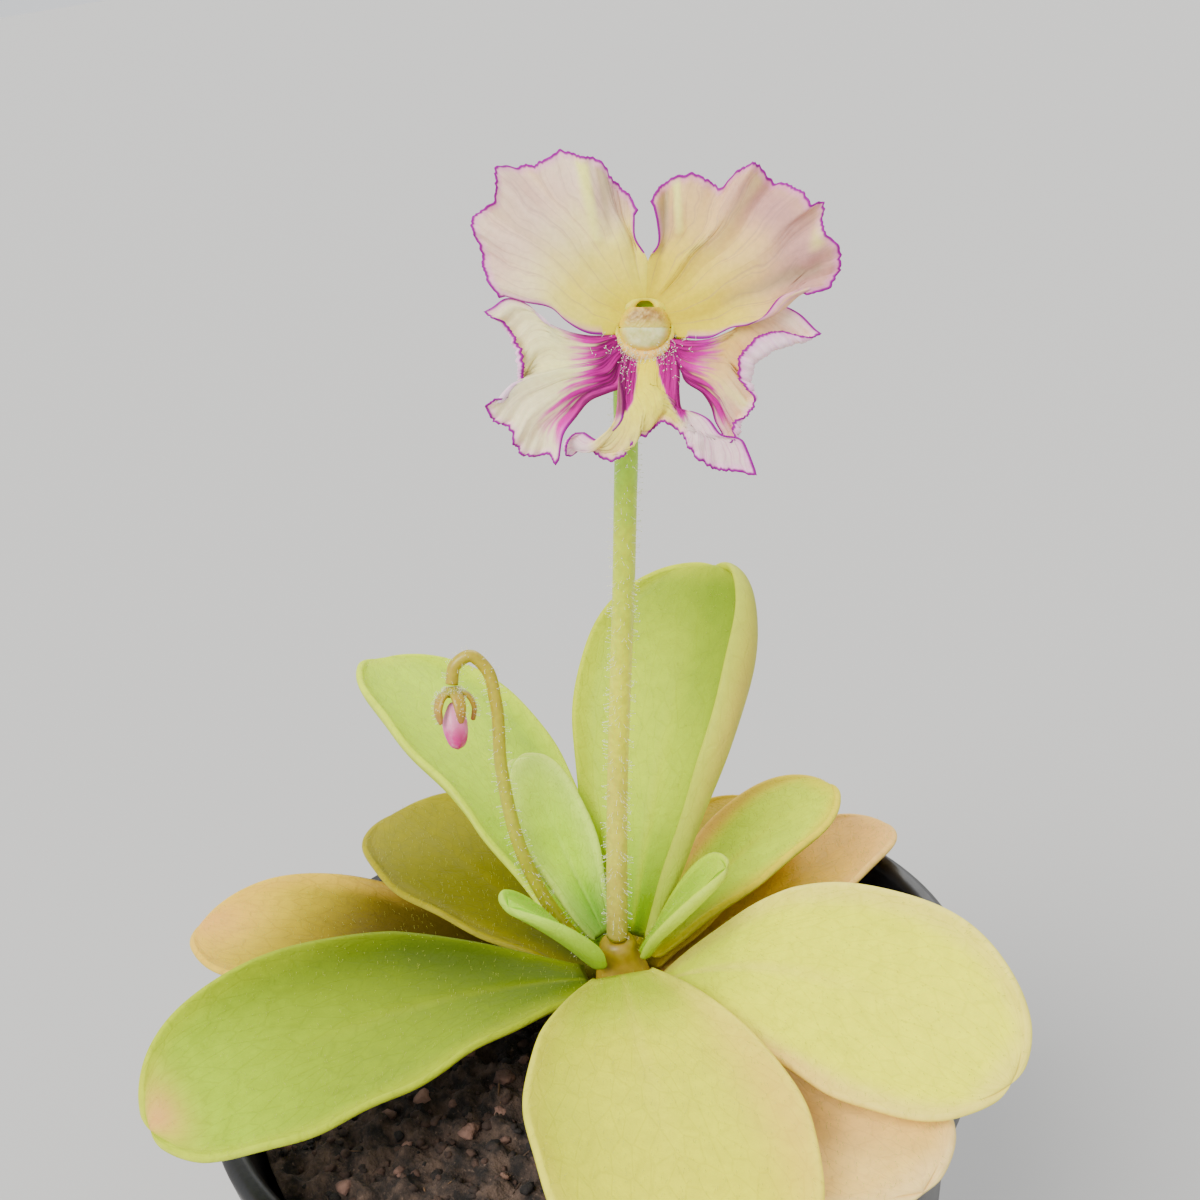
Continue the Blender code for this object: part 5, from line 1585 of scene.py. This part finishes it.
def pot():
    band = POT_HEIGHT - RIM_BAND_HEIGHT
    lip = POT_RIM_RADIUS - RIM_BAND_STEP - POT_WALL + 0.4
    profile = (
        (0.02, 0.0),
        (POT_BASE_RADIUS - 0.8, 0.0),
        (pot_radius(0.8), 0.8),
        (pot_radius(band - 1.0), band - 1.0),
        (POT_RIM_RADIUS - 0.9, band),
        (POT_RIM_RADIUS, POT_HEIGHT - 0.7),
        (POT_RIM_RADIUS - 0.7, POT_HEIGHT),
        (lip + 0.6, POT_HEIGHT),
        (lip, POT_HEIGHT - 0.6),
        (pot_radius(band) - POT_WALL, band - 2.0),
        (pot_radius(POT_FLOOR) - POT_WALL, POT_FLOOR),
        (0.02, POT_FLOOR),
    )
    points, quads = turned(rounded(profile, 0.5), 160)
    made = mesh_piece("pot_shell", points, [quads], [pot_finish()])
    cut_drain_holes(made)
    keep(made, "pot_plastic", "pot")


def cut_drain_holes(body):
    for k in range(DRAIN_HOLES):
        angle = 2 * math.pi * (k + 0.5) / DRAIN_HOLES
        centre = (DRAIN_HOLE_CIRCLE * math.cos(angle), DRAIN_HOLE_CIRCLE * math.sin(angle))
        ends = ((0.0, -3.0), (DRAIN_HOLE_RADIUS, -3.0), (DRAIN_HOLE_RADIUS, 5.0), (0.0, 5.0))
        points, quads = turned(np.clip(np.array(ends), (0.001, -9), None), 40, centre)
        cutter = mesh_piece("cutter", points, [quads], [])
        cut = body.modifiers.new("drain hole", "BOOLEAN")
        cut.operation = "DIFFERENCE"
        cut.object = cutter
        graph = bpy.context.evaluated_depsgraph_get()
        mesh = bpy.data.meshes.new_from_object(body.evaluated_get(graph))
        body.modifiers.clear()
        body.data = mesh
        bpy.data.objects.remove(cutter, do_unlink=True)
    body.data.set_sharp_from_angle(angle=math.radians(40))


def pot_finish():
    paint = Paint("pot_plastic")
    place = paint.place()
    grain = paint.noise(place, 1500.0, 3.0)
    dust = paint.noise(place, 70.0, 4.0, 0.6)
    black = paint.mix(paint.ramp(dust, 0.45, 0.75, 0.0, 0.5), colour("0E0E10", 1.0), colour("2A2724", 1.0))
    paint.base(black)
    paint.bump(grain, 0.25, 0.1)
    paint.roughness(paint.ramp(dust, 0.35, 0.7, 0.34, 0.55))
    return paint.made


def soil_height(x, y):
    """Height of the peat's surface: level, mounded at the crown, with lumps of grit."""
    reach = ((x - CROWN_X) ** 2 + (y - CROWN_Y) ** 2) / SOIL_MOUND_REACH**2
    lumps = np.sin(0.95 * x + 0.6 * y) * np.sin(0.85 * y - 0.45 * x)
    lumps = lumps + 0.6 * np.sin(1.7 * x - 1.1) * np.cos(1.5 * y)
    return SOIL_LEVEL + SOIL_MOUND * np.exp(-reach) + SOIL_LUMP * lumps


def crumbs(x, y, rng):
    """Fine roughness of the peat, from waves in random directions, in millimetres."""
    total = np.zeros_like(x)
    for size, height in ((2.2, 0.16), (1.3, 0.14), (0.8, 0.10), (0.5, 0.07)):
        for _ in range(5):
            angle = rng.uniform(0, 2 * math.pi)
            phase = rng.uniform(0, 2 * math.pi)
            wave = 2 * math.pi / size * (x * math.cos(angle) + y * math.sin(angle))
            total += height / 2.2 * np.sin(wave + phase)
    return total


def soil():
    rng = np.random.default_rng(7)
    sides = 300
    rings = 120
    hole = CROWN_HOLE + CLEARANCE
    wall_top = pot_radius(SOIL_LEVEL - 2.0) - POT_WALL - CLEARANCE
    bottom = POT_FLOOR + CLEARANCE
    wall_bottom = pot_radius(bottom) - POT_WALL - CLEARANCE
    angles = 2 * math.pi * np.arange(sides) / sides
    share = np.linspace(0.0, 1.0, rings)[:, None]
    radius = hole + (wall_top - hole) * share
    x = radius * np.cos(angles) + (1 - share) * CROWN_X
    y = radius * np.sin(angles) + (1 - share) * CROWN_Y
    z = soil_height(x, y) + crumbs(x, y, rng) - BED_DROP
    top = np.stack([x, y, z], -1)
    shaft = top[:1].copy()
    shaft[..., 2] = CROWN_PROFILE[0][1] - CLEARANCE
    floor = np.stack([wall_bottom * np.cos(angles), wall_bottom * np.sin(angles), np.full(sides, bottom)], -1)
    rows = np.concatenate([shaft * (1, 1, 1), top, floor[None]])
    index = np.arange(len(rows) * sides).reshape(-1, sides)
    nxt = np.roll(index, -1, axis=1)
    quads = np.stack([index[:-1], nxt[:-1], nxt[1:], index[1:]], -1).reshape(-1, 4)
    points = rows.reshape(-1, 3)
    centres = np.array([(CROWN_X, CROWN_Y, shaft[0, 0, 2]), (0.0, 0.0, bottom)])
    points = np.concatenate([points, centres])
    caps = [(len(points) - 2, nxt[0, k], index[0, k]) for k in range(sides)]
    caps += [(len(points) - 1, index[-1, k], nxt[-1, k]) for k in range(sides)]
    made = mesh_piece("peat_bed", points, [quads, np.array(caps)], [peat_finish()])
    keep(made, "peat", "soil")
    grit(rng)


def stone_template(rng, stretch):
    """A lumpy stone or crumb about one unit across."""
    phi = (1 + 5**0.5) / 2
    raw = [(-1, phi, 0), (1, phi, 0), (-1, -phi, 0), (1, -phi, 0), (0, -1, phi), (0, 1, phi)]
    raw += [(0, -1, -phi), (0, 1, -phi), (phi, 0, -1), (phi, 0, 1), (-phi, 0, -1), (-phi, 0, 1)]
    faces = [(0, 11, 5), (0, 5, 1), (0, 1, 7), (0, 7, 10), (0, 10, 11), (1, 5, 9), (5, 11, 4)]
    faces += [(11, 10, 2), (10, 7, 6), (7, 1, 8), (3, 9, 4), (3, 4, 2), (3, 2, 6), (3, 6, 8)]
    faces += [(3, 8, 9), (4, 9, 5), (2, 4, 11), (6, 2, 10), (8, 6, 7), (9, 8, 1)]
    points = [Vector(p).normalized() for p in raw]
    split = {}
    finer = []

    def between(a, b):
        key = (min(a, b), max(a, b))
        if key not in split:
            split[key] = len(points)
            points.append(((points[a] + points[b]) / 2).normalized())
        return split[key]

    for a, b, c in faces:
        ab, bc, ca = between(a, b), between(b, c), between(c, a)
        finer += [(a, ab, ca), (b, bc, ab), (c, ca, bc), (ab, bc, ca)]
    shape = np.array([tuple(p) for p in points])
    shape *= 0.5 * (1 + rng.normal(0.0, 0.16, (len(shape), 1)))
    return shape * np.array(stretch), np.array(finer, np.int64)


def grit(rng):
    """Loose crumbs, stones and fibres lying on the peat."""
    kinds = (
        ("peat_crumbs", 1300, (0.5, 1.3), ((1, 1, 0.8), (1.3, 0.9, 0.7)), "crumb"),
        ("grit_stones", 150, (0.9, 2.0), ((1, 1, 0.8), (1.2, 0.9, 0.7)), "stone"),
        ("peat_fibres", 160, (1.2, 3.0), ((1, 0.09, 0.09), (1, 0.14, 0.1)), "fibre"),
    )
    limit = pot_radius(SOIL_LEVEL) - POT_WALL - 1.3
    for name, count, sizes, stretches, finish in kinds:
        points = []
        faces = []
        shift = 0
        for stretch in stretches:
            share = count // len(stretches)
            template = stone_template(rng, stretch)
            radius = limit * np.sqrt(rng.uniform(0.01, 1.0, share))
            angle = rng.uniform(0, 2 * math.pi, share)
            x = radius * np.cos(angle)
            y = radius * np.sin(angle)
            clear = np.hypot(x - CROWN_X, y - CROWN_Y) > CROWN_HOLE + 1.8
            x, y = x[clear], y[clear]
            size = rng.uniform(0.0, 1.0, len(x)) ** 2.2 * (sizes[1] - sizes[0]) + sizes[0]
            place = np.stack([x, y, soil_height(x, y) - BED_DROP + 0.05 * size], 1)
            lean = rng.normal(0.0, 0.25, (len(x), 3)) + (0.0, 0.0, 1.0)
            made, some = scattered(template, place, lean, rng.uniform(0, 2 * math.pi, len(x)), size)
            points.append(made)
            faces.append(some + shift)
            shift += len(made)
        piece = mesh_piece(name, np.concatenate(points), faces, [FINISH[finish]])
        keep(piece, "peat")


def peat_finish():
    paint = Paint("peat")
    place = paint.place()
    lumps = paint.noise(place, 420.0, 4.0, 0.6)
    fine = paint.noise(place, 2200.0, 4.0, 0.65)
    base = paint.mix(paint.ramp(lumps, 0.35, 0.68), colour("1A1512", 1.0), colour("5C493D", 1.0))
    base = paint.mix(paint.ramp(fine, 0.58, 0.75, 0.0, 0.6), base, colour("8A7262", 1.0))
    paint.base(base)
    paint.bump(paint.math("ADD", lumps, fine), 0.9, 0.5)
    paint.set(rough=0.92)
    return paint.made


def crumb_finish(name, dark, light):
    paint = Paint(name)
    place = paint.place()
    lumps = paint.noise(place, 260.0, 2.0)
    fine = paint.noise(place, 2600.0, 3.0)
    paint.base(paint.mix(paint.ramp(lumps, 0.4, 0.6), colour(dark, 1.0), colour(light, 1.0)))
    paint.bump(fine, 0.7, 0.3)
    paint.set(rough=0.88)
    return paint.made


# Stage


def stage():
    mesh = bpy.data.meshes.new("floor")
    half = FLOOR_SIZE / 2
    corners = [(-half, -half, 0), (half, -half, 0), (half, half, 0), (-half, half, 0)]
    mesh.from_pydata(corners, [], [(0, 1, 2, 3)])
    floor = bpy.data.objects.new("floor", mesh)
    paint = Paint("floor")
    paint.base(colour("B4B3B1", 1.0))
    paint.set(rough=0.85, specular=0.2)
    mesh.materials.append(paint.made)
    bpy.context.scene.collection.objects.link(floor)
    world = bpy.data.worlds.new("studio")
    bpy.context.scene.world = world
    world.use_nodes = True
    background = world.node_tree.nodes["Background"]
    background.inputs["Color"].default_value = (0.90, 0.92, 0.95, 1.0)
    background.inputs["Strength"].default_value = 1.1
    add_sun("key", (-0.50, -0.55, 0.80), 35, 4.0, (1.0, 0.98, 0.94))
    add_sun("back", (0.35, 0.65, 0.70), 45, 1.7, (1.0, 0.99, 0.96))


FLOOR_SIZE = 80.0


def add_sun(name, direction, spread, strength, tint):
    """A wide soft light that shines from the given direction."""
    data = bpy.data.lights.new(name, "SUN")
    data.angle = math.radians(spread)
    data.energy = strength
    data.color = tint
    lamp = bpy.data.objects.new(name, data)
    bpy.context.scene.collection.objects.link(lamp)
    lamp.rotation_euler = Vector(direction).to_track_quat("Z", "Y").to_euler()


def camera():
    data = bpy.data.cameras.new("camera")
    data.lens = CAMERA_LENS
    data.sensor_width = CAMERA_SENSOR
    data.clip_start = 0.01
    data.clip_end = 200.0
    right = Vector(CAMERA_RIGHT).normalized()
    up = Vector(CAMERA_UP)
    up = (up - right * up.dot(right)).normalized()
    back = right.cross(up)
    made = bpy.data.objects.new("camera", data)
    bpy.context.scene.collection.objects.link(made)
    turn = Matrix((right, up, back)).transposed().to_4x4()
    made.matrix_world = Matrix.Translation(Vector(CAMERA_PLACE) * MM) @ turn
    bpy.context.scene.camera = made


def main():
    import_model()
    camera()
    stage()
    FINISH["gland"] = gland_finish()
    FINISH["hair"] = hair_finish()
    FINISH["crumb"] = crumb_finish("peat_crumb", "1B1512", "4A362C")
    FINISH["stone"] = crumb_finish("grit_stone", "5A4238", "8C6A5C")
    FINISH["fibre"] = crumb_finish("peat_fibre", "3A2A1E", "7A5C40")
    pot()
    soil()
    crown()
    for seed, (name, leaf) in enumerate(LEAVES.items()):
        fine_leaf(name, leaf, seed)
    for seed, name in enumerate(PETALS):
        fine_petal(name, seed + 1)
    throat()
    throat_body("stigma_lobe", (0.0, -0.9), -0.14, -3.0, stigma_finish(), "stigma", "stigma", 0.006)
    throat_body("anther_pair", (0.0, 0.6), 1.38, -0.15, anther_finish(), "anthers", "anthers", 0.014)
    flower_calyx()
    scape()
    bud()


main()
